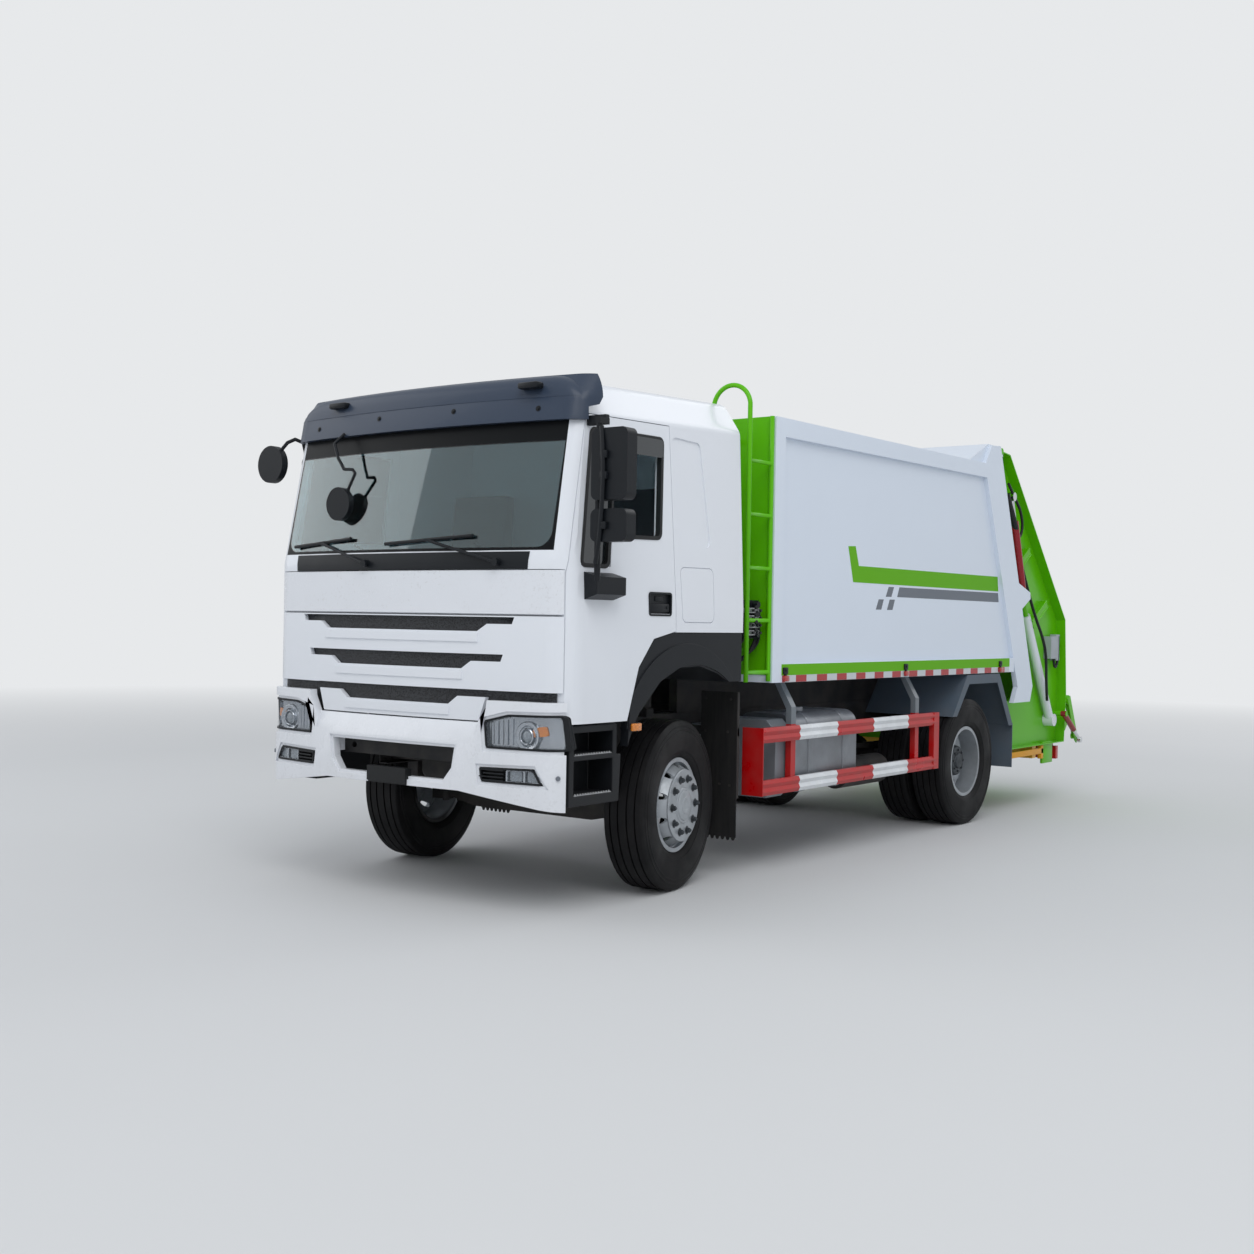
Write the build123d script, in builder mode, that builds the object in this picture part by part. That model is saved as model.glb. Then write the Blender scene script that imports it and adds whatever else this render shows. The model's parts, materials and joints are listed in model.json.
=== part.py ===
import os
from math import atan2, cos, degrees, hypot, radians, sin, sqrt

from build123d import *

# Rear-loading garbage truck, in millimetres.
# +Z is up, the cab faces -Y and +X is the truck's left.
# The origin is on the ground, under the middle of the truck.

os.makedirs("parts", exist_ok=True)

# Lengths along the truck, from the bumper's face to the tip of the bin lifter
front_overhang = 1400
wheelbase = 4300
cab_length = 2010
cab_gap = 380
body_overhang = 519         # from the rear axle to the body's top rear edge
tail_length = 2581
overall_length = front_overhang + wheelbase + body_overhang + tail_length
front_y = -overall_length / 2
cab_back_y = front_y + cab_length
body_front_y = cab_back_y + cab_gap
front_axle_y = front_y + front_overhang
rear_axle_y = front_axle_y + wheelbase
tail_y = rear_axle_y + body_overhang

# Wheels
tyre_diameter = 1085
tyre_width = 290
rim_diameter = 572
rim_flange = 14
hand_holes = 10
hand_hole = 42
front_track = 2040
rear_track = 1830
twin_spacing = 330
wheel_z = tyre_diameter / 2
hub_bore = 92
spindle_fit = 0.3
seat_gap = 0.3              # between pieces that rest against each other
rim_radius = rim_diameter / 2
rim_half = 0.39 * tyre_width

# Chassis
rail_spread = 850
rail_height = 280
rail_flange = 80
rail_wall = 8
rail_top_z = 1050
rail_front = 350
rail_end = front_overhang + wheelbase + 780
kingpin_x = 840
kingpin_diameter = 50
beam_width = 100
spring_x = 415
spring_width = 76
steer_arm = 180
steer_angle = 10            # the front wheels stand turned to the left

# Cab
cab_width = 2500
cab_wall = 50
cab_sill_z = 1113
cab_floor_z = 1250
cab_crease_z = 1723
arch_top_z = 1640
cab_nose = 60
plate_stand = 12
bumper_lead = cab_nose - plate_stand
cab_bow = 120
cab_corner_radius = 180
screen_foot_z = 2040
screen_lean = 0.2
roof_slope = 0.0375
gutter_half_width = 1200
gutter_z = 2880
roof_half_width = 1060
roof_z = 3086
door_gap = 5
mirror_reach = 1560         # from the middle of the cab to the tip of its mirrors

# Body
body_width = 2500
body_panel_inset = 36
body_wall = 8
body_floor_z = 1330
body_bottom_z = 1299
body_top_z = 3119
header_top_z = 3314
seal_lean = 0.3892          # how far the rear opening runs back for each mm down
seal_gap = 10

# Tailgate
hinge_back = 201
hinge_drop = 24
side_plate_x = 1050
plate_wall = 10
tail_flange = 90
hopper_radius = 765
blade_length = 730
slide_run = (-0.545, 0.838)
slide_travel = 700
lift_rod_diameter = 45


def behind_bumper(points):
    """Shift side-view points given as (distance behind the bumper's face, height)."""
    return [(front_y + distance, z) for distance, z in points]


def at_tail(points):
    """Shift side-view points given as (distance behind the body's rear top edge, height)."""
    return [(tail_y + distance, z) for distance, z in points]


def side_prism(outline, x_start, x_end, mode=Mode.ADD):
    """Extrude a side-view outline across the truck from one x to another."""
    with BuildSketch(Plane.YZ.offset(x_start)) as profile:
        Polygon(*outline, align=None)
    extrude(profile.sketch, amount=x_end - x_start, mode=mode)


def front_prism(outline, y_start, y_end, mode=Mode.ADD):
    """Extrude a front-view outline along the truck from one y to another."""
    with BuildSketch(Plane.XZ.offset(-y_start)) as profile:
        Polygon(*outline, align=None)
    extrude(profile.sketch, amount=y_start - y_end, mode=mode)


def block(x_range, y_range, z_range, mode=Mode.ADD):
    """A rectangular block between two corners."""
    (x0, x1), (y0, y1), (z0, z1) = x_range, y_range, z_range
    with Locations(((x0 + x1) / 2, (y0 + y1) / 2, (z0 + z1) / 2)):
        Box(abs(x1 - x0), abs(y1 - y0), abs(z1 - z0), mode=mode)


def cross_tube(y, z, diameter, x_start, x_end, mode=Mode.ADD):
    """A round bar or bore across the truck."""
    with BuildSketch(Plane.YZ.offset(x_start)) as profile:
        with Locations((y, z)):
            Circle(diameter / 2)
    extrude(profile.sketch, amount=x_end - x_start, mode=mode)


def rod(start, end, diameter, mode=Mode.ADD):
    """A round bar between two points."""
    axis = Vector(*end) - Vector(*start)
    with BuildSketch(Plane(origin=start, z_dir=axis)) as profile:
        Circle(diameter / 2)
    extrude(profile.sketch, amount=axis.length, mode=mode)


def save(piece, label, pin=None):
    """Name a finished piece and write it, turned by the steering angle where it rides on a kingpin."""
    finished = piece.part if pin is None else piece.part.rotate(pin, steer_angle)
    finished.label = label
    export_step(finished, f"parts/{label}.step")


def kingpin(side):
    """The upright axis that a front wheel is steered about."""
    return Axis((side * kingpin_x, front_axle_y, wheel_z), (0, 0, 1))


sides = (("left", 1), ("right", -1))

# Chassis frame: two channel rails, cross members, spring hangers and the body's sub-frame
rail_bottom_z = rail_top_z - rail_height
rail_outer = rail_spread / 2
subframe_height = body_bottom_z - rail_top_z - seat_gap
hanger_depth = 120
front_spring_half = 700
rear_spring_half = 760
tow_front = 150
tow_x = 440
tow_z = 901
tow_bore = 40
rear_hanger_s = front_overhang + wheelbase - rear_spring_half
cross_members = (500, 2200, 3000, 3950, rear_hanger_s, rail_end - 180)
with BuildPart() as chassis_frame:
    for name, side in sides:
        with BuildSketch(Plane.XZ.offset(-(front_y + rail_front))):
            with Locations((side * (rail_outer - rail_flange / 2), rail_top_z - rail_height / 2)):
                Rectangle(rail_flange, rail_height)
            with Locations((side * (rail_outer - rail_flange / 2 - rail_wall),
                            rail_top_z - rail_height / 2)):
                Rectangle(rail_flange, rail_height - 2 * rail_wall, mode=Mode.SUBTRACT)
        extrude(amount=rail_front - rail_end)
        x_rail = side * (rail_outer - rail_flange / 2)
        block((x_rail - 35, x_rail + 35), (body_front_y + 60, front_y + rail_end),
              (rail_top_z, rail_top_z + subframe_height))
        for axle_y, half in ((front_axle_y, front_spring_half), (rear_axle_y, rear_spring_half)):
            for end in (-1, 1):
                x_spring = side * spring_x
                block((x_spring - 45, x_spring + 45), (axle_y + end * half - 60, axle_y + end * half + 60),
                      (rail_bottom_z - hanger_depth, rail_bottom_z + 4))
    for distance in cross_members:
        block((-rail_outer + rail_wall, rail_outer - rail_wall), (front_y + distance - 50,
                                                                  front_y + distance + 50),
              (rail_top_z - rail_height + 30, rail_top_z - 30))
    # Cab supports ahead of the engine and behind the cab
    for distance in (420, 1930):
        block((-560, 560), (front_y + distance - 40, front_y + distance + 40),
              (rail_top_z, rail_top_z + 60))
        for side in (-1, 1):
            block((side * 440, side * 540), (front_y + distance - 40, front_y + distance + 40),
                  (rail_top_z + 60, cab_floor_z - 60))
    # Front towing member, with a bore at each towing eye
    block((-560, 560), (front_y + tow_front, front_y + rail_front + 10), (tow_z - 50, tow_z + 50))
    for side in (-1, 1):
        with BuildSketch(Plane.XZ.offset(-(front_y + tow_front))) as eye:
            with Locations((side * tow_x, tow_z)):
                Circle(tow_bore / 2)
        extrude(eye.sketch, amount=-(rail_front + 10 - tow_front), mode=Mode.SUBTRACT)
    # Rear towing cross member
    block((-rail_outer, rail_outer), (front_y + rail_end - 60, front_y + rail_end + 20),
          (rail_bottom_z, rail_top_z))
save(chassis_frame, "chassis_frame")

# Engine: one plain block between the rails
engine_front = 620
engine_back = 1820
with BuildPart() as engine:
    block((-320, 320), (front_y + engine_front, front_y + engine_back), (640, 1330))
    chamfer(engine.edges().filter_by(Axis.Y), 60)
    for side in (-1, 1):
        for distance in (engine_front + 150, engine_back - 250):
            block((side * 310, side * (rail_outer - rail_wall - seat_gap)),
                  (front_y + distance, front_y + distance + 100), (rail_top_z - 170, rail_top_z - 100))
save(engine, "engine")


# Axles with their leaf springs
def leaf_spring(side, axle_y, half, seat_z):
    """A leaf pack: a sagging arc of constant thickness from hanger to hanger."""
    eye_z = rail_bottom_z - hanger_depth + 35
    thickness = 56
    with BuildSketch(Plane.YZ.offset(side * spring_x - spring_width / 2)) as profile:
        with BuildLine():
            ThreePointArc((axle_y - half, eye_z), (axle_y, seat_z + thickness / 2), (axle_y + half, eye_z))
            Line((axle_y + half, eye_z), (axle_y + half, eye_z - thickness / 2))
            ThreePointArc((axle_y + half, eye_z - thickness / 2), (axle_y, seat_z - thickness / 2),
                          (axle_y - half, eye_z - thickness / 2))
            Line((axle_y - half, eye_z - thickness / 2), (axle_y - half, eye_z))
        make_face()
    extrude(profile.sketch, amount=spring_width)


beam_top_z = wheel_z - 35
with BuildPart() as front_axle:
    front_prism([(-760, beam_top_z + 40), (-520, beam_top_z), (520, beam_top_z), (760, beam_top_z + 40),
                 (760, beam_top_z - 60), (520, beam_top_z - 110), (-520, beam_top_z - 110),
                 (-760, beam_top_z - 60)],
                front_axle_y + beam_width / 2, front_axle_y - beam_width / 2)
    for name, side in sides:
        block((side * 740, side * kingpin_x), (front_axle_y - 42, front_axle_y + 42),
              (wheel_z - 62, wheel_z + 62))
        with Locations((side * kingpin_x, front_axle_y, wheel_z)):
            Cylinder(48, 124)
            Cylinder(kingpin_diameter / 2, 270)
        block((side * spring_x - 45, side * spring_x + 45), (front_axle_y - 80, front_axle_y + 80),
              (beam_top_z - 10, beam_top_z + 30))
        leaf_spring(side, front_axle_y, front_spring_half - 60.3, beam_top_z + 40)
save(front_axle, "front_axle")

drum_x = rear_track / 2 - 260
with BuildPart() as rear_axle:
    cross_tube(rear_axle_y, wheel_z, 130, -drum_x, drum_x)
    cross_tube(rear_axle_y, wheel_z, 2 * hub_bore / 2 - spindle_fit * 2, -(rear_track / 2 + 175),
               rear_track / 2 + 175)
    with Locations((0, rear_axle_y, wheel_z)):
        Sphere(215)
        Cylinder(150, 480, rotation=(90, 0, 0))
    for name, side in sides:
        block((side * spring_x - 50, side * spring_x + 50), (rear_axle_y - 90, rear_axle_y + 90),
              (wheel_z + 40, wheel_z + 85))
        leaf_spring(side, rear_axle_y, rear_spring_half - 60.3, wheel_z + 100)
save(rear_axle, "rear_axle")

# Propeller shaft from the gearbox to the rear axle
with BuildPart() as propeller_shaft:
    rod((0, front_y + engine_back + 3.1, 740), (0, rear_axle_y - 243.1, wheel_z + 20), 110)
save(propeller_shaft, "propeller_shaft")

# Steering knuckles and the tie rod between their arms
fork_gap = 3
arm_z = wheel_z - 105
for name, side in sides:
    with BuildPart() as knuckle:
        for up in (-1, 1):
            with Locations((side * kingpin_x, front_axle_y, wheel_z + up * (62 + fork_gap + 28))):
                Cylinder(52, 56)
            block((side * kingpin_x, side * (kingpin_x + 85)), (front_axle_y - 50, front_axle_y + 50),
                  (wheel_z + up * (62 + fork_gap), wheel_z + up * (62 + fork_gap + 56)))
        block((side * (kingpin_x + 60), side * (kingpin_x + 85)), (front_axle_y - 50, front_axle_y + 50),
              (wheel_z - 121, wheel_z + 121))
        cross_tube(front_axle_y, wheel_z, hub_bore - 2 * spindle_fit, side * (kingpin_x + 60),
                   side * (front_track / 2 + 120))
        block((side * (kingpin_x - 28), side * (kingpin_x + 28)), (front_axle_y + 20,
                                                                   front_axle_y + steer_arm),
              (arm_z - 16, arm_z + 16))
        with Locations((side * kingpin_x, front_axle_y + steer_arm, arm_z)):
            Cylinder(30, 32)
        with Locations((side * kingpin_x, front_axle_y, wheel_z)):
            Cylinder(kingpin_diameter / 2 + spindle_fit, 300, mode=Mode.SUBTRACT)
    save(knuckle, f"knuckle_{name}", kingpin(side))

with BuildPart() as tie_rod:
    tie_z = arm_z - 16 - seat_gap - 18
    tie_y = front_axle_y + steer_arm * cos(radians(steer_angle))
    tie_ends = [side * kingpin_x - steer_arm * sin(radians(steer_angle)) for side in (-1, 1)]
    for x_end in tie_ends:
        with Locations((x_end, tie_y, tie_z)):
            Cylinder(24, 36)
    rod((tie_ends[0], tie_y, tie_z), (tie_ends[1], tie_y, tie_z), 34)
save(tie_rod, "tie_rod")


# Tyres: half of the section, as (share of half the width, share of the way from bead to tread)
tyre_profile = ((0.8, 0.06), (0.95, 0.25), (1.0, 0.5), (0.96, 0.78), (0.88, 0.95), (0.76, 0.99))


def tyre_ring(centre_x, axle_y):
    """One tyre: the beads on the rim, bulged walls and a flat tread."""
    half = tyre_width / 2
    bead = rim_radius + seat_gap
    tread = tyre_diameter / 2
    seat = rim_half - 8 - seat_gap
    lip = bead + rim_flange
    wall = [(half * across, bead + (tread - bead) * up) for across, up in tyre_profile]
    outline = [(seat, bead), (seat, lip)] + wall + [(half * 0.6, tread)]
    with BuildSketch(Plane(origin=(centre_x, axle_y, wheel_z), x_dir=(1, 0, 0),
                           z_dir=(0, -1, 0))) as section:
        Polygon(*outline, *[(-x, radius) for x, radius in outline[::-1]], align=None)
    revolve(section.sketch, axis=Axis((0, axle_y, wheel_z), (1, 0, 0)))


def disc_wheel(centre_x, axle_y, outward, dish, face_radius, hub_out, capped):
    """A rim with its disc and hub: dish is how far outward the disc's face stands from the tyre's centre."""
    wall = 12
    half = rim_half
    start = dish * 0.45
    barrel_radius = rim_radius - wall
    rings = [((start, rim_radius - 6), (start, barrel_radius - 10), (dish, face_radius),
              (dish, hub_bore / 2),
              (dish + wall, hub_bore / 2), (dish + wall, face_radius + 6),
              (start + wall, barrel_radius - 6),
              (start + wall, rim_radius - 6)),
             ((dish - 60, hub_bore / 2), (hub_out, hub_bore / 2), (hub_out, 74), (dish + wall, 92),
              (dish - 60, 96))]
    if capped:
        rings.append(((hub_out - 8, 0), (hub_out, 0), (hub_out, hub_bore / 2 + 4),
                      (hub_out - 8, hub_bore / 2 + 4)))
    with BuildSketch(Plane(origin=(centre_x, axle_y, wheel_z), x_dir=(1, 0, 0),
                           z_dir=(0, -1, 0))) as section:
        Polygon((-half, barrel_radius), (half, barrel_radius), (half, rim_radius + rim_flange),
                (half - 8, rim_radius + rim_flange), (half - 8, rim_radius), (8 - half, rim_radius),
                (8 - half, rim_radius + rim_flange), (-half, rim_radius + rim_flange), align=None)
        for points in rings:
            Polygon(*[(outward * x, radius) for x, radius in points], align=None)
    revolve(section.sketch, axis=Axis((0, axle_y, wheel_z), (1, 0, 0)))
    with BuildSketch(Plane(origin=(centre_x - 200, axle_y, wheel_z), z_dir=(1, 0, 0))) as holes:
        with PolarLocations((face_radius + barrel_radius) / 2 + 1, hand_holes):
            Circle(hand_hole / 2)
    extrude(holes.sketch, amount=400, mode=Mode.SUBTRACT)


for name, side in sides:
    with BuildPart() as front_tyre:
        tyre_ring(side * front_track / 2, front_axle_y)
    save(front_tyre, f"front_tyre_{name}", kingpin(side))
    with BuildPart() as front_wheel:
        disc_wheel(side * front_track / 2, front_axle_y, side, 145, 220, 178, True)
    save(front_wheel, f"front_wheel_{name}", kingpin(side))
    outer_x = side * (rear_track + twin_spacing) / 2
    inner_x = side * (rear_track - twin_spacing) / 2
    with BuildPart() as rear_tyres:
        tyre_ring(outer_x, rear_axle_y)
        tyre_ring(inner_x, rear_axle_y)
    save(rear_tyres, f"rear_tyres_{name}")
    with BuildPart() as rear_wheels:
        disc_wheel(outer_x, rear_axle_y, -side, 100, 190, 150, False)
        disc_wheel(inner_x, rear_axle_y, side, 100, 190, 150, False)
        # Drum and hub between the rails and the outer wheel's dish
        with BuildSketch(Plane.YZ.offset(side * (rear_track / 2 - 170))) as drum:
            with Locations((rear_axle_y, wheel_z)):
                Circle(150)
                Circle(hub_bore / 2, mode=Mode.SUBTRACT)
        extrude(drum.sketch, amount=side * 300)
    save(rear_wheels, f"rear_wheels_{name}")

# Fuel tank with its straps, on the left
tank_length = 950
tank_y = front_y + 2850
tank_x = 920
tank_z = 775
tank_width = 460
tank_height = 570
strap_stand = 8
with BuildPart() as fuel_tank:
    with BuildSketch(Plane.XZ.offset(-tank_y)):
        with Locations((tank_x, tank_z)):
            RectangleRounded(tank_width, tank_height, 110)
    extrude(amount=-tank_length)
    for distance in (218, 728):
        with BuildSketch(Plane.XZ.offset(-(tank_y + distance))):
            with Locations((tank_x, tank_z)):
                RectangleRounded(tank_width + 2 * strap_stand, tank_height + 2 * strap_stand,
                                 110 + strap_stand)
        extrude(amount=-60)
        block((rail_outer, 700), (tank_y + distance, tank_y + distance + 60),
              (rail_bottom_z + 60, rail_bottom_z + 180))
    with Locations((tank_x, tank_y + 420, tank_z + tank_height / 2)):
        Cylinder(55, 60)
save(fuel_tank, "fuel_tank")

# Battery box ahead of the tank
with BuildPart() as battery_box:
    front_prism([(700, 480), (1080, 480), (1160, 560), (1160, 950), (1080, 1030), (700, 1030)],
                tank_y - 250, tank_y - 30)
    block((rail_outer, 700), (tank_y - 220, tank_y - 60), (rail_bottom_z + 40, rail_bottom_z + 200))
save(battery_box, "battery_box")

# Air tanks: two cylinders lying along the rails, left below the tank and right
with BuildPart() as air_tanks:
    for side, x_tank, z_tank, start in ((1, 555, 560, 3100), (1, 880, 540, 3950), (-1, 700, 800, 2650),
                                        (-1, 700, 800, 3500)):
        rod((side * x_tank, front_y + start, z_tank), (side * x_tank, front_y + start + 700, z_tank), 240)
        hang_x, hang_z = (rail_outer, (z_tank, z_tank + 80)) if z_tank > rail_bottom_z else (
            rail_outer - rail_flange, (z_tank, rail_bottom_z))
        block((side * hang_x, side * (x_tank - 20)), (front_y + start + 300, front_y + start + 380), hang_z)
save(air_tanks, "air_tanks")

# Side guards: two corrugated bars between a front plate and an end post, on bent struts from the body's sill
guard_front = body_front_y - 97
guard_back = rear_axle_y - 650
guard_x = cab_width / 2
guard_bars = ((530, 105), (889, 104))
guard_low_z = guard_bars[0][0]
guard_top_z = guard_bars[1][0] + guard_bars[1][1]
with BuildPart() as side_guards:
    for name, side in sides:
        for z_bar, height in guard_bars:
            outline = ((guard_x - 40, z_bar), (guard_x - 12, z_bar), (guard_x, z_bar + 0.25 * height),
                       (guard_x - 12, z_bar + 0.5 * height), (guard_x, z_bar + 0.75 * height),
                       (guard_x - 12, z_bar + height), (guard_x - 40, z_bar + height))
            front_prism([(side * x, z) for x, z in outline], guard_front + 4, guard_back - 4)
        block((side * (guard_x - 170), side * (guard_x - 2)), (guard_front, guard_front + 8),
              (guard_low_z, guard_top_z))
        block((side * (guard_x - 46), side * (guard_x - 2)), (guard_back - 95, guard_back),
              (guard_low_z, guard_top_z))
        for y_post in (guard_front + 455, guard_back - 345):
            front_prism([(side * x, z) for x, z in ((guard_x - 185, body_bottom_z),
                                                    (guard_x - 140, body_bottom_z),
                        (guard_x - 36, 1120), (guard_x - 36, guard_low_z), (guard_x - 80, guard_low_z),
                        (guard_x - 80, 1105))], y_post - 32, y_post + 32)
save(side_guards, "side_guards")


# Cab: the outer form, and its inside when inset is the wall's thickness
def cab_form(inset, floor_z):
    """Plan outline carried up, leaning back with the windscreen, and trimmed by the cross-section."""
    half = cab_width / 2 - inset
    nose_y = front_y + cab_nose + inset
    back_y = cab_back_y - inset
    with BuildPart() as form:
        for base_z, height, lean in ((floor_z, screen_foot_z - floor_z, 0),
                                     (screen_foot_z, 1300, screen_lean)):
            with BuildSketch(Plane.XY.offset(base_z)) as plan:
                with BuildLine():
                    ThreePointArc((-half, nose_y + cab_bow), (0, nose_y), (half, nose_y + cab_bow))
                    Polyline((half, nose_y + cab_bow), (half, back_y), (-half, back_y),
                             (-half, nose_y + cab_bow))
                make_face()
                fillet(plan.vertices().group_by(Axis.Y)[0], cab_corner_radius - inset)
            extrude(plan.sketch, amount=height * sqrt(1 + lean ** 2), dir=(0, lean, 1))
        with BuildSketch(Plane.XZ.offset(-(front_y - 200))) as section:
            Polygon((-half, 0), (half, 0), (half, cab_crease_z), (gutter_half_width - inset, gutter_z),
                    (roof_half_width - inset, roof_z - inset), (inset - roof_half_width, roof_z - inset),
                    (inset - gutter_half_width, gutter_z), (-half, cab_crease_z), align=None)
            fillet(section.vertices().group_by(Axis.Y)[-1], 110)
            fillet(section.vertices().group_by(Axis.Y)[-3], 90)
        extrude(section.sketch, amount=4000, dir=(0, 1, roof_slope), mode=Mode.INTERSECT)
        split(bisect_by=Plane.XZ.offset(-back_y), keep=Keep.TOP)
    return form.part


cab_outer = cab_form(0, cab_sill_z)
cab_inner = cab_form(cab_wall, cab_floor_z)
door_inner = cab_form(cab_wall, cab_sill_z - cab_wall)

# Openings in the cab, as seen from the side and from the front
door_outline = behind_bumper([(214, cab_sill_z), (214, 1976), (379, 2893), (1198, 2912), (1240, 1646),
                              (1010, 1600),
                              (860, 1430), (751, cab_sill_z)])
window_outline = behind_bumper([(307, 2021), (582, 2020), (600, 2200), (1085, 2214), (1128, 2824),
                                (423, 2814)])
arch_outline = behind_bumper([(751, 900), (751, cab_sill_z), (860, 1430), (1010, 1600), (1100, arch_top_z),
                              (cab_length + 10, arch_top_z), (cab_length + 10, 900)])
screen_outline = [(-1142, 2101), (1142, 2101), (1122, 2870), (-1122, 2870)]


tunnel_top_z = cab_floor_z + 170
floor_wall = 30
nose_step = 40
lip_stand = 8
recess_depth = 12
recess_margin = 18
cowl_wall = 4
panel_wall = 30
panel_top_z = 1988
door_front_s = 214


def nose_strip(lead, thickness, half, z_low, z_high, back_s, depth=0, lean=0, mode=Mode.ADD):
    """A strip that follows the cab's nose in plan, lead in front of it and
    ending back_s behind the bumper's face."""
    nose_y = front_y + cab_nose - lead
    with BuildSketch(Plane.XY.offset(z_low)) as plan:
        with BuildLine():
            ThreePointArc((-cab_width / 2, nose_y + cab_bow), (0, nose_y),
                          (cab_width / 2, nose_y + cab_bow))
            Polyline((cab_width / 2, nose_y + cab_bow), (cab_width / 2, nose_y + 900),
                     (-cab_width / 2, nose_y + 900),
                     (-cab_width / 2, nose_y + cab_bow))
        make_face()
        fillet(plan.vertices().group_by(Axis.Y)[0], cab_corner_radius)
        if depth > 0:
            offset(amount=-depth, kind=Kind.INTERSECTION, mode=Mode.REPLACE)
        if thickness > 0:
            offset(amount=-thickness, kind=Kind.INTERSECTION, mode=Mode.SUBTRACT)
        with Locations((0, front_y + back_s - 1000)):
            Rectangle(2 * half, 2000, mode=Mode.INTERSECT)
    extrude(plan.sketch, amount=(z_high - z_low) * sqrt(1 + lean ** 2), dir=(0, lean, 1), mode=mode)


# Pressings beside the sleeper: a sunk panel above, and a locker lid outlined by a groove
pressing_depth = 9
groove_width = 5
panel_outline = behind_bumper([(1220, 2852), (1536, 2842), (1638, 2173), (1294, 2207)])
locker_outline = behind_bumper([(1288, 2048), (1661, 2050), (1665, 1700), (1309, 1700)])
with BuildPart() as pressings:
    for outline, grooved in ((panel_outline, False), (locker_outline, True)):
        with BuildSketch(Plane.YZ.offset(-cab_width)) as pressing:
            Polygon(*outline, align=None)
            fillet(pressing.vertices(), 45)
            if grooved:
                offset(amount=-groove_width, mode=Mode.SUBTRACT)
        extrude(pressing.sketch, amount=2 * cab_width)
    add(cab_outer, mode=Mode.INTERSECT)
    add(cab_form(pressing_depth, cab_sill_z - 100), mode=Mode.SUBTRACT)

with BuildPart() as cab_shell:
    add(cab_outer)
    add(cab_inner, mode=Mode.SUBTRACT)
    # Tunnel over the engine and the floor raised over the wheels
    block((-420, 420), (front_y + 300, cab_back_y - 60), (cab_floor_z - 10, tunnel_top_z))
    with BuildSketch(Plane.YZ.offset(-cab_width / 2 + 40)) as housing:
        Polygon(*arch_outline, align=None)
        offset(amount=floor_wall, kind=Kind.INTERSECTION)
        with Locations((cab_back_y - 20 - 700, 1500)):
            Rectangle(1400, 600, mode=Mode.INTERSECT)
    extrude(housing.sketch, amount=cab_width - 80)
    block((-370, 370), (front_y + 350, cab_back_y - 120), (cab_sill_z - 10, cab_floor_z + 120),
          mode=Mode.SUBTRACT)
    for name, side in sides:
        # Door hole, wheel arch and the pressed panel beside the sleeper
        with BuildSketch(Plane.YZ.offset(side * (cab_width / 2 + 100))) as hole:
            Polygon(*door_outline, align=None)
            offset(amount=door_gap, kind=Kind.INTERSECTION)
        extrude(hole.sketch, amount=-side * 300, mode=Mode.SUBTRACT)
        # The floor's edge behind the foot of the door
        block((side * 1040, side * (cab_width / 2 - cab_wall - door_gap)), (front_y + 340, front_y + 745),
              (cab_sill_z, cab_floor_z))
        side_prism(arch_outline, side * (cab_width / 2 + 100), side * 430, mode=Mode.SUBTRACT)
        for name, back in (("front", 420), ("back", 1930)):
            block((side * 430, side * 550), (front_y + back - 50, front_y + back + 50),
                  (cab_sill_z - 10, cab_floor_z - 60), mode=Mode.SUBTRACT)
    # Windscreen opening
    front_prism(screen_outline, front_y - 100, front_y + 700, mode=Mode.SUBTRACT)
    # Step in the nose that takes the front panel and the grille
    nose_strip(0, nose_step, cab_width, cab_sill_z, panel_top_z + 4, door_front_s - door_gap,
               mode=Mode.SUBTRACT)
    add(pressings, mode=Mode.SUBTRACT)
save(cab_shell, "cab_shell")

def cab_side(z):
    """Half the cab's width at a height, at the mirrors."""
    rise = max(z - roof_slope * 820 - cab_crease_z, 0)
    return cab_width / 2 - (cab_width / 2 - gutter_half_width) * rise / (gutter_z - cab_crease_z)


# Doors, cut from the same form as the cab, with the window and the mirrors
door_glass_inset = 22
mirror_clear = 55
mirror_depth = 90
mirror_heads = ((2385, 2790), (2150, 2335))
round_mirror = 250
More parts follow.
